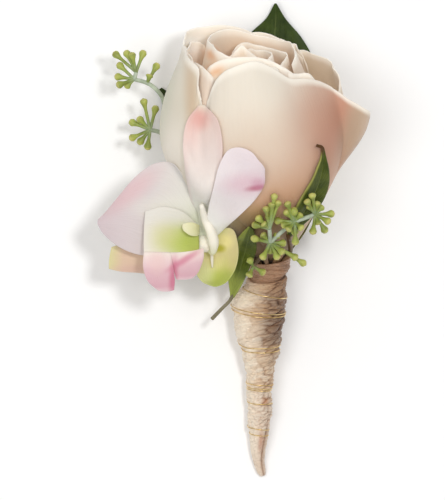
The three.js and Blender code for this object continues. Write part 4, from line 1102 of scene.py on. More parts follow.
# Knots [turns, how far down]: six bands over the front, and half a turn behind from each to the next.
WIRE_DOWN = np.array(
    [
        [0, 3.2], [0.5, 3.9], [1.0, 8.3], [2.5, 9.4], [3.0, 17.8], [4.5, 19.2], [5.0, 28.2],
        [7.5, 30.0], [8.0, 33.0], [8.5, 33.4], [9.0, 39.8], [10.5, 42.0],
    ]
)
WIRE_START = -math.pi / 2
WIRE_RADIUS = 0.13
WIRE_STAND = 0.3  # how far its middle stands off the satin, as a share of its radius
WIRE_SLACK = 0.12
WIRE_STEPS = 640
BESIDE_WIRE = (-0.15, -0.07, 0, 0.07, 0.15)  # radians round the handle


def wire_strand(material):
    """The wire rides on the highest satin beside it."""
    turns = np.linspace(0, WIRE_DOWN[-1, 0], WIRE_STEPS)
    down = np.interp(turns, WIRE_DOWN[:, 0], WIRE_DOWN[:, 1]) + WIRE_SLACK * np.sin(turns * 3.3)
    turn = 2 * math.pi * turns + WIRE_START
    wrapped = np.mod(turn, 2 * math.pi)
    near = np.stack([ribbon_relief(down, wrapped + k)[0] for k in BESIDE_WIRE])
    distance = averaged(near.max(0) + WIRE_STAND * WIRE_RADIUS)
    centres = handle_point(down, turn, distance)
    centres[:, 2] = np.maximum(centres[:, 2], WIRE_RADIUS + TABLE_GAP)
    return tube(centres, WIRE_RADIUS, 8, material)


def wire_shade():
    s = Shade("gold_wire", {"Metallic": 1.0, "Roughness": 0.28})
    s.paint(s.noise(s.place(), 0.8, 2.0), [(0.35, 208, 174, 110), (0.65, 246, 222, 166)])
    s.grain(3.0, 2.0, 0.03)
    return s.done()


add_piece("wire_winding", [wire_strand(wire_shade())], replaced=["gold_wire"])

# Stalks share the ribbon's bore.

STEM_RING = 3.5  # the ring of stalks at the mouth, and below, where it is closed
STEM_RING_LOW = 2.95
STEM_RING_CLOSED = 7
PAST_MOUTH = 0.9  # how far past the mouth a stalk goes straight on
ROUND_ROSE = 1.3 * GAP + STALK_RADIUS
STEM_TURNS = {
    "leaf_right": 62, "eucalyptus_right": -8, "orchid": -64, "eucalyptus_left": -97, "leaf_left": -154,
    "leaf_top": 144,
}


def stem_in_bore(which, deepest):
    """A stalk's way up from its end in the bore to the foot of the rose."""
    turn = math.radians(STEM_TURNS[which])
    inside = []
    for share in (1, 0.66, 0.33, 0):
        down = deepest * share
        ring = STEM_RING + (STEM_RING_LOW - STEM_RING) * risen(down, 0, STEM_RING_CLOSED)
        inside.append(handle_point(np.array(down), turn, ring))
    beyond = inside[3] - PAST_MOUTH * handle_frame(np.array(0.0))[1]
    return [*inside, beyond, beside_rose(turn, -0.2, ROUND_ROSE), beside_rose(turn, 2, ROUND_ROSE)]


STALK = [[0, STALK_RADIUS], [1, STALK_RADIUS - 0.05]]


def neck_shadow(s):
    """Above the ribbon the stalks are painted mauve-brown as the shade under the rose, and dark
    olive-brown further left, in deeper shade.
    """
    s.stain(9.4, -7.0, 8.4, 4.4, (154, 118, 86), 0.95, soft=0.2)
    s.stain(6.0, -3.4, 3.4, 3.8, (74, 60, 30), 0.85, soft=0.5)


def green_shade(name, dark, bright, roughness=0.42, veins=1.0, shaded_at_neck=True):
    """A waxy leaf with a paler midrib and side veins."""
    s = Shade(
        name,
        {
            "Roughness": roughness, "Specular IOR Level": 0.2, "Subsurface Weight": 0.05,
            "Subsurface Radius": (1.0, 1.4, 0.4), "Subsurface Scale": MM,
        },
    )
    along, aside = s.attribute("along"), s.attribute("aside")
    s.paint(s.noise(s.place(), 0.25, 4.0, 0.6), [(0.3, *dark), (0.7, *bright)])
    away = s.math("ABSOLUTE", aside)
    slant = s.math("SUBTRACT", s.times(along, VEINS_ALONG), s.times(away, VEIN_SLANT))
    stripe = s.math("ABSOLUTE", s.math("SUBTRACT", s.math("FRACT", slant), 0.5))
    side_vein = s.times(s.span(stripe, 0.07, 0.0), s.span(away, 0.95, 0.5))
    midrib = s.span(away, 0.07, 0.0)
    pale = s.mix(0.45, linear(*bright), linear(196, 204, 130))
    for vein, amount in ((midrib, 0.65), (side_vein, 0.28)):
        s.tint = s.mix(s.times(vein, amount * veins), s.tint, pale)
    # Painted shade at the neck.
    if shaded_at_neck:
        neck_shadow(s)
    s.bump(s.times(side_vein, -1.0), 0.1)
    s.grain(2.2, 4.0, 0.06)
    return s


def add_leaf(name, which, deepest, bends, slot, material, **shape):
    """A leaf whose stalk starts deep in the ribbon and goes on through bends past the rose's foot."""
    stalk = rod([*stem_in_bore(which, deepest), *bends], STALK, 12, 40, material)
    add_piece(name, [stalk, ribbed(thick=LEAF_THICK, material=material, **shape)], replaced=[which])


UP = [0, 0, 1]
FLAT = LEAF_THICK / 2  # the height of a leaf's middle where it lies on the table
dark_leaf = green_shade("leaf_dark", (36, 52, 10), (58, 76, 20), 0.5, 0.3).done()
top_half = [
    [0, 0.8, 0.8, 0], [0.12, 5, 5, 0], [0.3, 12, 12, 0], [0.5, 14, 14, 0], [0.7, 12, 12.4, 0],
    [0.8, 9.4, 10.0, 0.1], [0.865, 6.8, 7.2, 0.15], [0.9, 5.3, 5.5, 0.2], [0.925, 3.8, 3.9, 0.2],
    [0.945, 1.9, 2.0, 0.15], [0.965, 0.9, 0.9, 0.1], [1, 0.25, 0.25, 0],
]
add_leaf(
    "leaf_behind_rose", "leaf_top", 15,
    [[10.1, 1.5, 2.8], [10.1, 6, 1.5], [10.2, 12, 0.6]],
    "leaf_dark", dark_leaf,
    rib=[
        [10.0, -3.4, 5.3], [10.1, 0.5, 3.4], [10.1, 6, 1.5], [10.2, 12, FLAT], [10.5, 22, FLAT],
        [10.8, 34, FLAT], [11.2, 47, FLAT], [11.5, 55, 0.9], [11.8, 59.5, 1.8], [11.7, 63.2, 3.0],
    ],
    fronts=[UP, UP], half=top_half, floor=0.0, rows=90, columns=40, sway=0.1,
)
add_leaf(
    "leaf_behind_left", "leaf_left", 18,
    [[2.4, -0.4, 4.4], [-0.4, 4, 2.2], [-2.6, 8, 1.0]],
    "leaf_dark", dark_leaf,
    rib=[
        [3.2, -1.8, 5.0], [0.6, 2.4, 2.9], [-2.2, 7.4, 1.1], [-5.5, 14, FLAT], [-9, 22, FLAT],
        [-13, 31, FLAT], [-16.5, 37, 0.8], [-18.9, 40.6, 1.6],
    ],
    fronts=[UP, UP],
    half=[
        [0, 0.7, 0.7, 0], [0.2, 4.6, 3.2, 0], [0.5, 6.6, 4.4, 0], [0.8, 4.2, 3.8, 0], [1, 0.4, 0.4, 0],
    ],
    floor=0.0, rows=60, columns=28, sway=0.08,
)


def bright_leaf_shade():
    s = green_shade("leaf_bright", (60, 72, 18), (88, 98, 28), veins=0.5)
    s.coat(s.attribute("aside"), -0.75, -1.0, 0.75, (168, 166, 92))
    s.coat(s.attribute("along"), 0.84, 0.93, 0.9, (92, 56, 32))
    return s.done()


def lower_leaf_shade():
    """The leaf's pale underside shows on its left and lower part."""
    s = green_shade("leaf_lower", (60, 74, 22), (90, 102, 32), veins=0.5, shaded_at_neck=False)
    s.coat(s.attribute("aside"), -0.3, -0.6, 0.8, (140, 150, 68))
    s.coat(s.attribute("along"), 0.36, 0.16, 0.7, (158, 168, 80))
    return s.done()


bright_leaf = bright_leaf_shade()
REST_LIFT = LEAF_THICK / 2 + 1.6 * GAP
below = nodes_below("leaf_right")  # what is laid so far, which grows as the pieces are made


def on_rose(x, y, lift, least=0.0):
    """A point at least so high, with so much room over what is laid so far."""
    return [x, y, max(clear_over(x, y, lift, below), least)]


add_leaf(
    "leaf_at_right", "leaf_right", 16,
    [on_rose(15, 1.6, 1.6)],
    "leaf_bright", bright_leaf,
    rib=[
        on_rose(15.2, 1.4, 1.4), on_rose(16.2, 3.4, 1.4), on_rose(18.9, 7.7, 1.2),
        on_rose(22.1, 13.5, 1.2), on_rose(23.7, 18.6, 1.3), on_rose(24.2, 22.6, 1.8),
        on_rose(23.6, 24.9, 2.2), on_rose(22.4, 25.2, 2.2),
    ],
    fronts=[[0.35, -0.5, 0.8], [0.5, -0.4, 0.8], [0.6, -0.3, 0.8]],
    half=[
        [0, 0.7, 0.7, 0], [0.25, 2.8, 3.2, 0.2], [0.5, 3.2, 3.8, 0.2], [0.72, 2.0, 2.2, 0.3],
        [0.85, 0.7, 0.7, 0], [1, 0.4, 0.4, 0],
    ],
    under=below, lift=REST_LIFT, groove=0.15, rows=60, columns=24,
)
below = nodes_below("leaf_lower")
petiole = green_shade("leaf_petiole", (112, 104, 80), (142, 134, 110), 0.6).done()


def cut_stalk():
    route = [[-5.2, -20.7, 12.6], [-2.6, -18.0, 14.2], [-0.6, -16.0, 15.8], [0.5, -14.2, 16.6]]
    return rod(route, [[0, 0.5], [0.6, 0.45], [1, 0.5]], 12, 20, petiole, {"aside": 0.6})


def lower_leaf():
    return ribbed(
        rib=[
            [0.2, -14.8, 16.3], [1.3, -11.4, 18.0], [2.5, -7.2, 20.4], on_rose(3.7, -2.9, 1.3, 21.6),
            on_rose(4.4, 0.3, 1.6), on_rose(5.0, 3.6, 1.4),
        ],
        fronts=[[-0.5, -0.4, 0.8], [-0.3, -0.5, 0.8]],
        half=[
            [0, 0.6, 0.6, 0], [0.2, 2.8, 1.7, 0.5], [0.45, 3.8, 2.7, 0.6], [0.7, 3.0, 2.8, 0.3],
            [0.9, 1.6, 1.6, 0.1], [1, 0.5, 0.5, 0],
        ],
        thick=LEAF_THICK, material=lower_leaf_shade(), under=below, lift=REST_LIFT, groove=0.15,
    )


add_piece("leaf_at_ribbon", [cut_stalk(), lower_leaf()], replaced=["leaf_lower"])
below = nodes_below("orchid_bloom")

# The hip, sepals and stem of the rose. Each sepal has a turn about the rose in degrees, and a length.

SEPALS = [[24, 5.5], [104, 13], [178, 9], [235, 12], [320, 4.5]]


def sepal(material, degrees, length):
    turn = math.radians(degrees)
    outward = rose_point(turn, 1, 0) - rose_point(turn, 0, 0)
    shares = np.array([-0.7 / length, 0.2, 0.45, 0.7, 1])
    half = min(0.22 * length, 1.5)
    return ribbed(
        rib=[rose_point(turn, 2.2, -1.9), *beside_rose(turn, shares * length, GAP + SEPAL_THICK / 2)],
        fronts=[outward, outward],
        half=[
            [0, 0.5 * half, 0.5 * half, -0.1], [0.4, half, half, -0.1],
            [0.75, 0.7 * half, 0.7 * half, 0], [1, 0.4, 0.4, 0],
        ],
        thick=SEPAL_THICK, material=material, rows=20, columns=8,
    )


def rose_stem(material):
    hip = rose_lathe([[-0.9, 2.5], [-1.5, 2.75], [-2.5, 2.3]], 32, material)
    inside = [handle_point(np.array(down), 0, 0) for down in (0.0, 3.0, 7.0, 14.0, 23.0, 35.0)]
    radii = [[0, 2.5], [0.1, 2.4], [0.18, 2.3], [0.3, 1.9], [0.6, 1.7], [1, 1.4]]
    stem = rod([rose_point(0, 0, -1.4), *inside], radii, 24, 60, material)
    return [hip, stem, *(sepal(material, degrees, length) for degrees, length in SEPALS)]


stem_green = green_shade("rose_green", (84, 84, 38), (122, 118, 58), 0.5).done()
add_piece("rose_stem_and_sepals", rose_stem(stem_green), replaced=["rose_stem"])

# The orchid.


def orchid_shade(name, stops):
    s = petal_shade(name, 0.2, 0.5)
    # Painted light: a faint emission for the light through the thin petals.
    s.painted_glow = 0.035
    s.paint(s.attribute("along"), stops)
    return s


def upper_sepal_shade():
    s = orchid_shade(
        "orchid_upper_sepal",
        [
            (0.0, 216, 222, 196), (0.3, 232, 230, 222), (0.7, 234, 216, 208), (0.93, 232, 202, 190),
            (1.0, 226, 218, 198),
        ],
    )
    s.stain(-8.8, 32.2, 2.6, 2.6, (226, 160, 150), 0.75)
    s.stain(-10.6, 29.0, 1.6, 4.0, (230, 190, 182), 0.5, soft=0.9)
    edge = s.span(s.math("ABSOLUTE", s.attribute("aside")), 0.6, 1.0)
    s.over(s.times(edge, 0.4), (220, 188, 182))
    petal_veins(s, 0.08, 26.0)
    return s.done()


def right_petal_shade():
    s = orchid_shade(
        "orchid_right_petal",
        [(0.0, 236, 238, 226), (0.35, 244, 236, 234), (1.0, 224, 208, 212)],
    )
    s.stain(3.6, 14.8, 5.6, 2.8, (220, 176, 188), 0.6, slant=6)
    s.stain(6.8, 14.0, 2.6, 0.7, (184, 98, 120), 0.85, slant=8)
    s.stain(7.2, 15.0, 1.8, 1.4, (196, 130, 156), 0.5)
    s.stain(0.5, 8.5, 3.0, 4.0, (234, 220, 222), 0.5)
    petal_veins(s, 0.08, 26.0)
    return s.done()


def left_petal_shade():
    s = orchid_shade(
        "orchid_left_petal",
        [(0.0, 208, 216, 184), (0.28, 218, 216, 206), (0.55, 206, 196, 195), (1.0, 206, 188, 192)],
    )
    s.stain(-27.0, 13.0, 2.6, 8.0, (214, 176, 180), 0.65, slant=-52)
    s.stain(-17.0, 8.6, 7.0, 2.6, (222, 220, 208), 0.6, soft=0.9)
    petal_veins(s, 0.08, 26.0)
    return s.done()


def left_sepal_shade():
    s = orchid_shade(
        "orchid_left_sepal",
        [(0.0, 214, 214, 176), (0.4, 216, 190, 166), (0.85, 212, 184, 160), (1.0, 206, 198, 142)],
    )
    s.stain(-27.0, -7.8, 6.0, 1.4, (204, 168, 158), 0.5, slant=4)
    petal_veins(s, 0.08, 22.0)
    return s.done()


def right_sepal_shade():
    s = orchid_shade(
        "orchid_right_sepal",
        [(0.0, 190, 196, 118), (0.3, 218, 205, 150), (0.7, 194, 195, 114), (1.0, 162, 178, 84)],
    )
    s.stain(0.6, -1.6, 1.6, 6.0, (216, 200, 148), 0.7)
    s.stain(-3.2, -10.2, 5.0, 2.4, (168, 182, 84), 0.7, soft=0.7)
    s.stain(-7.4, -8.6, 2.2, 3.4, (212, 214, 164), 0.7)
    # Painted light: lifts the shadow that the column casts here.
    s.stain(-2.2, -0.2, 2.2, 1.8, (244, 230, 156), 0.8, soft=0.7)
    s.stain(-3.2, -2.0, 1.5, 1.0, (186, 180, 52), 0.9, soft=0.6)
    petal_veins(s, 0.08, 18.0)
    return s.done()


def column_shade():
    s = orchid_shade(
        "orchid_column",
        [(0.0, 206, 208, 150), (0.45, 236, 230, 214), (1.0, 238, 232, 218)],
    )
    s.grain(2.0, 3.0, 0.05)
    return s.done()


ORCHID_MIDDLE = np.array([-7, -0.6, 27])
ORCHID_THICK = 0.4
petal_shape = dict(thick=ORCHID_THICK, under=below, lift=ORCHID_THICK / 2 + GAP)


def orchid_middle(material):
    turn = np.linspace(0, 2 * math.pi, 32, endpoint=False)
    outline = smooth_knots(evenly([[-1.8, 1.4], [-0.6, 2.4], [0.8, 2.2], [1.8, 1.0]]))
    z, radius = np.moveaxis(outline(np.linspace(0, 1, 16))[:, None], -1, 0)
    x, y = radius * np.cos(turn), radius * np.sin(turn)
    return loops(np.stack(np.broadcast_arrays(x, y, z), -1) + ORCHID_MIDDLE, material)


def upper_sepal():
    return blade(
        left=[
            [-8.6, 0.4, 26.8], [-10.2, 8, 30], on_rose(-11.5, 14, 1.6), on_rose(-12.4, 20, 1.6),
            on_rose(-12.8, 26.5, 1.6), on_rose(-11.6, 32, 1.6), on_rose(-8.8, 35.6, 1.8),
        ],
        rib=[
            [-7.2, 0.4, 27], [-7.6, 8, 31], on_rose(-7.6, 14, 2.2), on_rose(-7.6, 20, 2.4),
            on_rose(-7.7, 26.8, 1.5), on_rose(-7.8, 32, 1.6), on_rose(-7.8, 35.9, 1.8),
        ],
        right=[
            [-5.8, 0.4, 27.2], on_rose(-4.8, 8, 1.4, 30), on_rose(-3.4, 14, 1.2),
            on_rose(-2.6, 20, 1.2), on_rose(-2.5, 26.5, 1.3), on_rose(-3.8, 32, 1.5),
            on_rose(-6.8, 35.6, 1.8),
        ],
        material=upper_sepal_shade(),
        **petal_shape,
    )


def right_petal():
    return blade(
        left=[
            [-6.8, 0.8, 28], on_rose(-6.4, 7, 3.4), on_rose(-4.8, 14, 3.2), on_rose(-3.0, 20.5, 3.0),
            on_rose(-0.8, 24, 2.4), on_rose(2.3, 24.6, 2.2), on_rose(5.4, 23.3, 2.4),
            on_rose(7.4, 20.8, 2.8),
        ],
        rib=[
            [-6.0, 0.6, 28], on_rose(-2.5, 6.9, 2.2), on_rose(1.7, 12.2, 1.8), on_rose(5.0, 16.8, 1.8),
            on_rose(8.2, 20, 2.8),
        ],
        right=[
            [-5.0, 0.2, 28], on_rose(-1.7, 3.4, 2.4, 29), on_rose(2.3, 6.9, 1.6),
            on_rose(6.2, 10.9, 1.4), on_rose(8.6, 14.8, 1.6), on_rose(8.8, 18.8, 2.6),
        ],
        ruffle=(0.35, 1.6), material=right_petal_shade(),
        **petal_shape,
    )


def left_petal():
    return blade(
        left=[
            [-8.0, -2.0, 27], [-14, -3.4, 28.5], [-20, -4.0, 29.5], [-25.5, -3.4, 29.6],
            [-30.4, -1.2, 29.4], [-34.2, 2.2, 29], [-35.4, 4.3, 28.8],
        ],
        rib=[[-8.6, 0.2, 27.4], [-15, 3.4, 30.4], [-22, 6.2, 32], [-29, 7.0, 31.4], [-35.5, 5.0, 29]],
        right=[
            [-8.6, 1.6, 27.6], [-9.4, 9.2, 31], [-11.8, 15, 33.5], [-15.4, 20.4, 34],
            [-20.0, 20.6, 33.4], [-25.2, 17.2, 32.4], [-29.6, 12.2, 31.2], [-33.4, 7.6, 30],
            [-35.2, 5.8, 29.2],
        ],
        ruffle=(0.4, 1.7), rows=56, columns=40, material=left_petal_shade(),
        **petal_shape,
    )


def left_sepal():
    return blade(
        left=[
            [-7.6, -3.6, 25.6], [-14, -7.6, 23.8], [-20, -8.8, 23.4], [-25.5, -8.4, 23.6],
            [-29.5, -8.1, 24.2], [-32.5, -7.4, 24.8],
        ],
        rib=[[-8, -2.0, 25.6], [-16, -3.8, 24.6], [-24.4, -4.6, 24.6], [-32.4, -4.6, 25]],
        right=[[-8.2, -0.8, 25.6], [-15, 0.6, 25], [-22, 0.8, 25], [-28, -0.4, 25], [-31.8, -1.6, 25]],
        material=left_sepal_shade(),
        **petal_shape,
    )


def right_sepal():
    return blade(
        left=[
            [-6.6, -0.8, 26], [-8.6, -4.4, 25.4], [-9.4, -8.2, 25.2], [-7.8, -10.8, 25.6],
            [-5.0, -12.0, 26],
        ],
        rib=[
            [-5.6, -0.6, 25.8], [-4.4, -3.8, 23.6], [-3.6, -7.2, 22.8], [-3.9, -10.2, 23.8],
            [-4.4, -12.1, 26],
        ],
        right=[
            [-4.8, 0.6, 26.4], [-1.8, 3.4, 27.6], [0.4, 3.0, 27.8], [1.6, -0.6, 27.4], [1.7, -4.4, 27],
            [0.6, -8.2, 26.6], [-1.5, -11.0, 26.2], [-3.8, -12.1, 26],
        ],
        material=right_sepal_shade(),
        **petal_shape,
    )


def orchid_column(material):
    route = [
        [-6.4, -1.4, 26.0], [-5.1, -3.2, 28.2], [-4.7, -1.5, 29.8], [-4.95, 0.7, 31.0],
        [-5.7, 2.9, 31.8], [-6.9, 5.6, 32.4], on_rose(-7.95, 9.5, 2.4, 33.2),
    ]
    radii = [
        [0, 1.2], [0.15, 0.6], [0.29, 1.05], [0.44, 1.45], [0.58, 1.35], [0.73, 1.2], [0.93, 0.9],
        [1, 0.55],
    ]
    return rod(route, radii, 24, 40, material)


def sepal_ridge(material):
    route = [[-5.4, -1.8, 26.4], [-5.2, -4.4, 25.0], [-5.1, -7.0, 24.0]]
    return rod(route, [[0, 0.3], [0.5, 0.45], [1, 0.2]], 10, 20, material)


def orchid_stalk(material):
    bends = [[0.4, -4.6, 17.2], [-3.4, -3.4, 20.4], [-6.2, -1.6, 24], [-6.9, -0.8, 26.6]]
    radii = [[0, STALK_RADIUS], [0.7, STALK_RADIUS + 0.1], [1, 1.3]]
    return rod([*stem_in_bore("orchid", 15), *bends], radii, 16, 40, material)


def orchid_bloom():
    pale = column_shade()
    blades = [upper_sepal(), right_petal(), left_petal(), left_sepal(), right_sepal()]
    rods = [orchid_column(pale), sepal_ridge(pale), orchid_stalk(stem_green)]
    return [orchid_middle(pale), *blades, *rods]


add_piece("orchid", orchid_bloom(), replaced=["orchid_bloom"])


def throat_shade():
    s = orchid_shade(
        "orchid_throat",
        [(0.0, 172, 182, 92), (0.3, 188, 196, 118), (0.62, 212, 208, 180), (1.0, 222, 214, 200)],
    )
    s.stain(-13.0, -0.6, 4.6, 2.8, (178, 192, 90), 0.8)
    s.stain(-17.5, 1.0, 3.4, 3.0, (200, 198, 130), 0.6, slant=30, soft=0.9)
    s.coat(s.attribute("aside"), 0.1, 0.8, 0.9, (220, 215, 206))
    petal_veins(s, 0.08, 22.0)
    return s.done()


def side_lobe_shade():
    s = orchid_shade("orchid_side_lobe", [(0.0, 206, 206, 148), (1.0, 228, 222, 184)])
    petal_veins(s, 0.06, 14.0)
    return s.done()


def lobe_shade():
    s = orchid_shade(
        "orchid_lobe",
        [
            (0.0, 236, 222, 210), (0.14, 230, 206, 202), (0.4, 220, 182, 188), (0.85, 216, 170, 180),
            (1.0, 228, 196, 200),
        ],
    )
    s.stain(-15.4, -9.8, 1.0, 4.6, (196, 104, 132), 0.8, slant=-4)
    s.stain(-12.4, -5.0, 4.6, 0.8, (200, 112, 138), 0.7, slant=32)
    s.stain(-19.6, -5.6, 2.0, 3.0, (224, 190, 186), 0.6)
    petal_veins(s, 0.1, 18.0)
    return s.done()


def throat():
    return blade(
        left=[[-8.7, -2.4, 29.4], [-13, -3.2, 32.8], [-18, -3.2, 34.2], [-23.2, -3.0, 34.4]],
        rib=[[-8.7, 0.6, 28.9], [-13, 1.6, 31.8], [-18, 2.4, 33.4], [-23.2, 2.4, 34.2]],
        right=[[-9.2, 4.6, 31.0], [-13.2, 7.8, 33.8], [-18, 9.0, 34.2], [-22.8, 7.8, 33.8]],
        thick=ORCHID_THICK, material=throat_shade(),
    )


def side_lobe():
    return blade(
        left=[[-8.6, 1.8, 30.0], [-9.4, 1.3, 32.6], [-11.0, 1.5, 34.0], [-12.6, 2.6, 34.6]],
        rib=[[-8.6, 3.0, 30.4], [-9.6, 2.9, 33.0], [-11.4, 3.1, 34.5], [-13.0, 3.6, 34.8]],
        right=[[-8.6, 4.2, 31.0], [-9.6, 4.7, 33.2], [-11.2, 4.9, 34.4], [-12.8, 4.5, 34.8]],
        thick=ORCHID_THICK, material=side_lobe_shade(), rows=30, columns=16,
    )


def left_lobe(material):
    return blade(
        left=[[-23.2, -2.8, 34.5], [-23.4, -6.8, 34.4], [-22.2, -10.6, 33.0], [-19.6, -13.0, 31.2]],
        rib=[[-19.8, -2.9, 34.5], [-19.4, -7.6, 34.4], [-17.6, -13.4, 31.0]],
        right=[[-16.2, -3.0, 34.0], [-15.5, -6.6, 33.8], [-15.0, -10.2, 32.4], [-15.2, -13.0, 31.0]],
        thick=ORCHID_THICK, material=material,
    )


def right_lobe(material):
    return blade(
        left=[[-16.8, -3.0, 34.0], [-15.6, -6.8, 33.0], [-14.6, -10.2, 31.4]],
        rib=[[-11.8, -2.8, 32.6], [-11.6, -6.4, 32.6], [-12.0, -10.2, 30.4]],
        right=[[-7.4, -1.9, 31.2], [-7.4, -4.4, 31.4], [-8.8, -8.2, 30.6], [-10.2, -9.8, 30.2]],
        thick=ORCHID_THICK, material=material,
    )


def orchid_lip():
    """A throat with a side lobe folded over it, and two lobes folded down in front."""
    pink = lobe_shade()
    return [throat(), side_lobe(), left_lobe(pink), right_lobe(pink)]


add_piece("orchid_lip_lobes", orchid_lip(), replaced=["orchid_lip"])
below = LAID_ON

# Seeded eucalyptus.

BUD_RADIUS = 1.02
BUD_LENGTH = 4.6  # what is longer has a thin stalk before it
BUD_ARCH = 0.1  # how high it arches, as a share of its length
BUD_LIFT = 2.4 * GAP
TWIG_LIFT = STALK_RADIUS + 2 * GAP
CAP_FROM = 0.84


def bud_shade():
    s = Shade("eucalyptus_bud", {"Roughness": 0.5, "Subsurface Weight": 0.08, "Subsurface Scale": MM})
    s.paint(
        s.attribute("along"),
        [(0.0, 158, 172, 138), (0.45, 140, 156, 74), (0.8, 168, 176, 82), (1.0, 190, 190, 104)],
    )
    s.coat(s.noise(s.place(), 0.35, 3.0), 0.42, 0.68, 0.7, (112, 124, 48))
    s.coat(s.attribute("cap"), 0.4, 0.6, 0.5, (196, 190, 112))
    s.grain(3.0, 3.0, 0.05)
    return s.done()


def twig_shade():
    s = Shade("eucalyptus_twig", {"Roughness": 0.6})
    s.paint(s.noise(s.place(), 0.6, 3.0), [(0.3, 158, 170, 146), (0.7, 192, 202, 182)])
    # Painted shade at the neck.
    neck_shadow(s)
    s.grain(2.5, 3.0, 0.05)
    return s.done()


BUD_SHADE = bud_shade()
TWIG_SHADE = twig_shade()

# The club's outline: [share of the way from the node to the blunt end, share of its radius].
CLUB = smooth_knots(
    [
        [0.0, 0.42], [0.35, 0.44], [0.55, 0.62], [0.72, 0.94], [0.82, 1.02], [0.86, 0.9], [0.93, 0.78],
        [0.98, 0.42], [1.0, 0.1],
    ]
)


def bud(start, end, lift=None):
    """A club-shaped bud from its node to its blunt end. With a lift, it keeps clear of the rose."""
    start, end = np.array(start, float), np.array(end, float)
    length = np.linalg.norm(end - start)
    t = np.linspace(0, 1, 22)
    stretch = np.clip(BUD_LENGTH / length, 0.3, 1)
    club_at = np.where(t < 1 - stretch, 0.0, (t - (1 - stretch)) / stretch)
    radii = CLUB(club_at)[:, 0] * BUD_RADIUS
    centres = start + (end - start) * t[:, None]
    centres[:, 2] += BUD_ARCH * length * np.sin(t * math.pi)
    if lift is not None:
        need = [clear_over(x, y, lift + radius, below) for (x, y, _), radius in zip(centres, radii)]
        centres[:, 2] = averaged(np.maximum(centres[:, 2], need))
    cap = np.where(club_at > CAP_FROM, 1.0, 0.0)[:, None]
    return tube(centres, radii, 12, BUD_SHADE, extra={"cap": cap})


# Where each bud ends in the plan, by the node of the sprig that it grows from.
RIGHT_BUDS = {
    "low": [[4.7, -4.8], [9.0, -8.7], [4.4, -9.6]],
    "first": [
        [5.3, 0.8], [7.9, 2.1], [7.9, -5.0], [10.2, -3.4], [12.4, -5.0], [14.0, -3.4], [14.5, -0.6],
        [12.4, 1.9], [17.6, -4.8], [19.8, -6.4],
    ],
    "branch": [
        [5.3, 4.5], [6.5, 6.6], [8.1, 4.8], [9.0, 9.2], [9.8, 7.2], [10.7, 10.3], [11.4, 12.6],
        [12.5, 10.8],
    ],
    "second": [
        [11.2, 5.4], [13.0, 4.0], [14.0, 8.2], [14.5, 10.5], [18.5, 7.4], [14.6, 2.6], [16.7, 1.6],
        [16.9, -1.2], [18.9, 3.0], [16.5, 8.6],
    ],
    "third": [
        [21.2, 12.7], [20.2, 9.7], [22.7, 10.6], [24.1, 9.3], [27.3, 7.2], [26.2, 4.8], [25.1, 2.1],
        [23.0, 4.2], [21.4, 1.6], [19.6, 11.0],
    ],
}
LEFT_BUDS = {
    "upper": [[-31.4, 50.1], [-28.2, 50.6], [-26.6, 50.1], [-23.2, 50.6]],
    "fork": [[-30.3, 47.2], [-31.1, 43.7], [-30.6, 41.1], [-28.2, 40.8]],
    "middle": [[-19.5, 47.2], [-21.6, 44.3]],
    "lower": [
        [-27.2, 31.8], [-25, 32.9], [-27.2, 27], [-24.8, 25.7], [-22.4, 24.1], [-23.5, 37.9], [-20, 36],
    ],
}


def eucalyptus_right():
    nodes = {
        "low": on_rose(5.8, -6.8, 3.0, 23.4), "first": on_rose(10.3, -0.5, 2.6, 28),
        "branch": on_rose(10, 3.2, 3, 30), "second": on_rose(16.7, 5, 2.6, 32),
        "third": on_rose(22.1, 7, 2.4, 34.6),
    }
    fork = on_rose(9.2, -3.2, 2.0, 23)
    draped = Route(
        [
            fork,
            nodes["first"],
            on_rose(13.6, 2.7, 2.4, 30),
            nodes["second"],
            on_rose(19.5, 6.1, 2.4, 32),
            nodes["third"],
        ]
    ).at(np.linspace(0, 1, 11))
    draped = [on_rose(x, y, TWIG_LIFT, z) for x, y, z in draped]
    parts = [
        rod([*stem_in_bore("eucalyptus_right", 17), *draped], STALK, 12, 90, TWIG_SHADE),
        rod([nodes["first"], nodes["branch"]], STALK, 10, 6, TWIG_SHADE),
        rod([fork, on_rose(7.4, -4.6, 2.4, 23.4), nodes["low"]], STALK, 10, 16, TWIG_SHADE),
    ]
    for name, ends in RIGHT_BUDS.items():
        for i, (x, y) in enumerate(ends):
            end = on_rose(x, y, 1.5, nodes[name][2] - 1 + 1.6 * (i % 3))
            parts.append(bud(nodes[name], end, BUD_LIFT))
    return parts


def eucalyptus_left():
    nodes = {
        "fork": [-25.8, 42.9, 18], "upper": [-25.3, 44.8, 18.6], "middle": [-22.4, 41.9, 17],
        "lower": [-21.6, 29.5, 14.5],
    }
    stem = [
        *stem_in_bore("eucalyptus_left", 19),
        [-1, 0.6, 8.8], [-6, 7.4, 8.4], [-11.5, 16, 9], [-16.0, 24, 10.6], [-17.4, 31, 12.6],
        [-18.2, 37.6, 14.6], [-20.3, 40.5, 16.5],
        nodes["middle"],
        nodes["fork"],
    ]
    parts = [
        rod(stem, STALK, 12, 90, TWIG_SHADE),
        rod([[-16.8, 27, 11.4], [-19.2, 28.9, 13.4], nodes["lower"]], STALK, 10, 12, TWIG_SHADE),
        rod([nodes["fork"], nodes["upper"]], STALK, 10, 6, TWIG_SHADE),
    ]
    for name, ends in LEFT_BUDS.items():
        for i, (x, y) in enumerate(ends):
            parts.append(bud(nodes[name], [x, y, nodes[name][2] + 1.4 * ((i % 3) - 0.6)]))
    return parts


add_piece("eucalyptus_over_rose", eucalyptus_right(), replaced=["eucalyptus_right"])
add_piece("eucalyptus_behind", eucalyptus_left(), replaced=["eucalyptus_left"])

# Floor, light and camera, in metres.

FLOOR_HALF = 1.5
LIT_POINT = Vector((0, 0, 0.02))


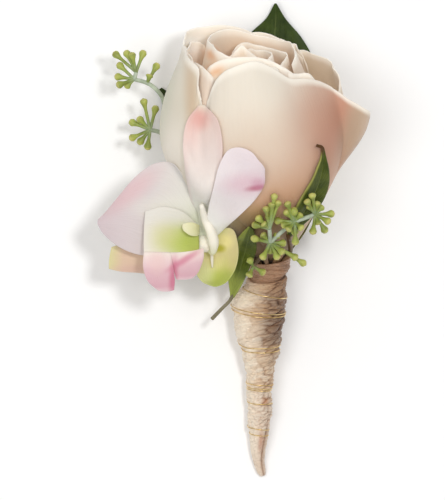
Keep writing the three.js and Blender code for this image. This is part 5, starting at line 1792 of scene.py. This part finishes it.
def add_floor():
    mesh = bpy.data.meshes.new("floor")
    corners = [(x * FLOOR_HALF, y * FLOOR_HALF, 0) for x, y in ((-1, -1), (1, -1), (1, 1), (-1, 1))]
    mesh.from_pydata(corners, [], [(0, 1, 2, 3)])
    floor = bpy.data.objects.new("floor", mesh)
    bpy.context.scene.collection.objects.link(floor)
    pale = {"Base Color": linear(252, 252, 252), "Roughness": 0.9, "Specular IOR Level": 0.1}
    mesh.materials.append(Shade("floor", pale).done())


def add_light(name, place, size, watts, colour):
    data = bpy.data.lights.new(name, "AREA")
    data.shape = "DISK"
    data.size = size
    data.energy = watts
    data.color = colour
    light = bpy.data.objects.new(name, data)
    light.location = place
    aim = LIT_POINT - Vector(place)
    light.rotation_euler = aim.to_track_quat("-Z", "Y").to_euler()
    bpy.context.scene.collection.objects.link(light)


def add_world(strength):
    world = bpy.data.worlds.new("studio")
    world.use_nodes = True
    background = world.node_tree.nodes["Background"]
    background.inputs["Color"].default_value = (1, 1, 1, 1)
    background.inputs["Strength"].default_value = strength
    bpy.context.scene.world = world


VIEW_MIDDLE = np.array([-2.4, -2.4])  # millimetres, the middle of the picture
VIEW_WIDTH = 117.9  # millimetres
VIEW_PLANE = 25  # millimetres up, where that width is seen
PICTURE_SHAPE = 445 / 500  # the picture's width to its height
CAMERA_HEIGHT = 5.0
SENSOR = 36


def add_camera():
    """A camera that isn't turned looks straight down."""
    data = bpy.data.cameras.new("camera")
    data.sensor_fit = "VERTICAL"
    data.sensor_height = SENSOR
    distance = CAMERA_HEIGHT - VIEW_PLANE * MM
    data.lens = SENSOR * distance / (VIEW_WIDTH * MM / PICTURE_SHAPE)
    data.clip_start = 0.05
    data.clip_end = 10
    camera = bpy.data.objects.new("camera", data)
    camera.location = (*((VIEW_MIDDLE + TO_MIDDLE[:2]) * MM), CAMERA_HEIGHT)
    bpy.context.scene.collection.objects.link(camera)
    bpy.context.scene.camera = camera


add_floor()
add_world(0.5)
add_light("key", (-0.25, 0.0, 0.9), 0.5, 2.5, (1.0, 0.99, 0.97))
add_light("back", (0.17, 0.12, 0.9), 0.12, 2.7, (1.0, 1.0, 1.0))
add_camera()
bpy.context.scene.view_settings.view_transform = "Standard"
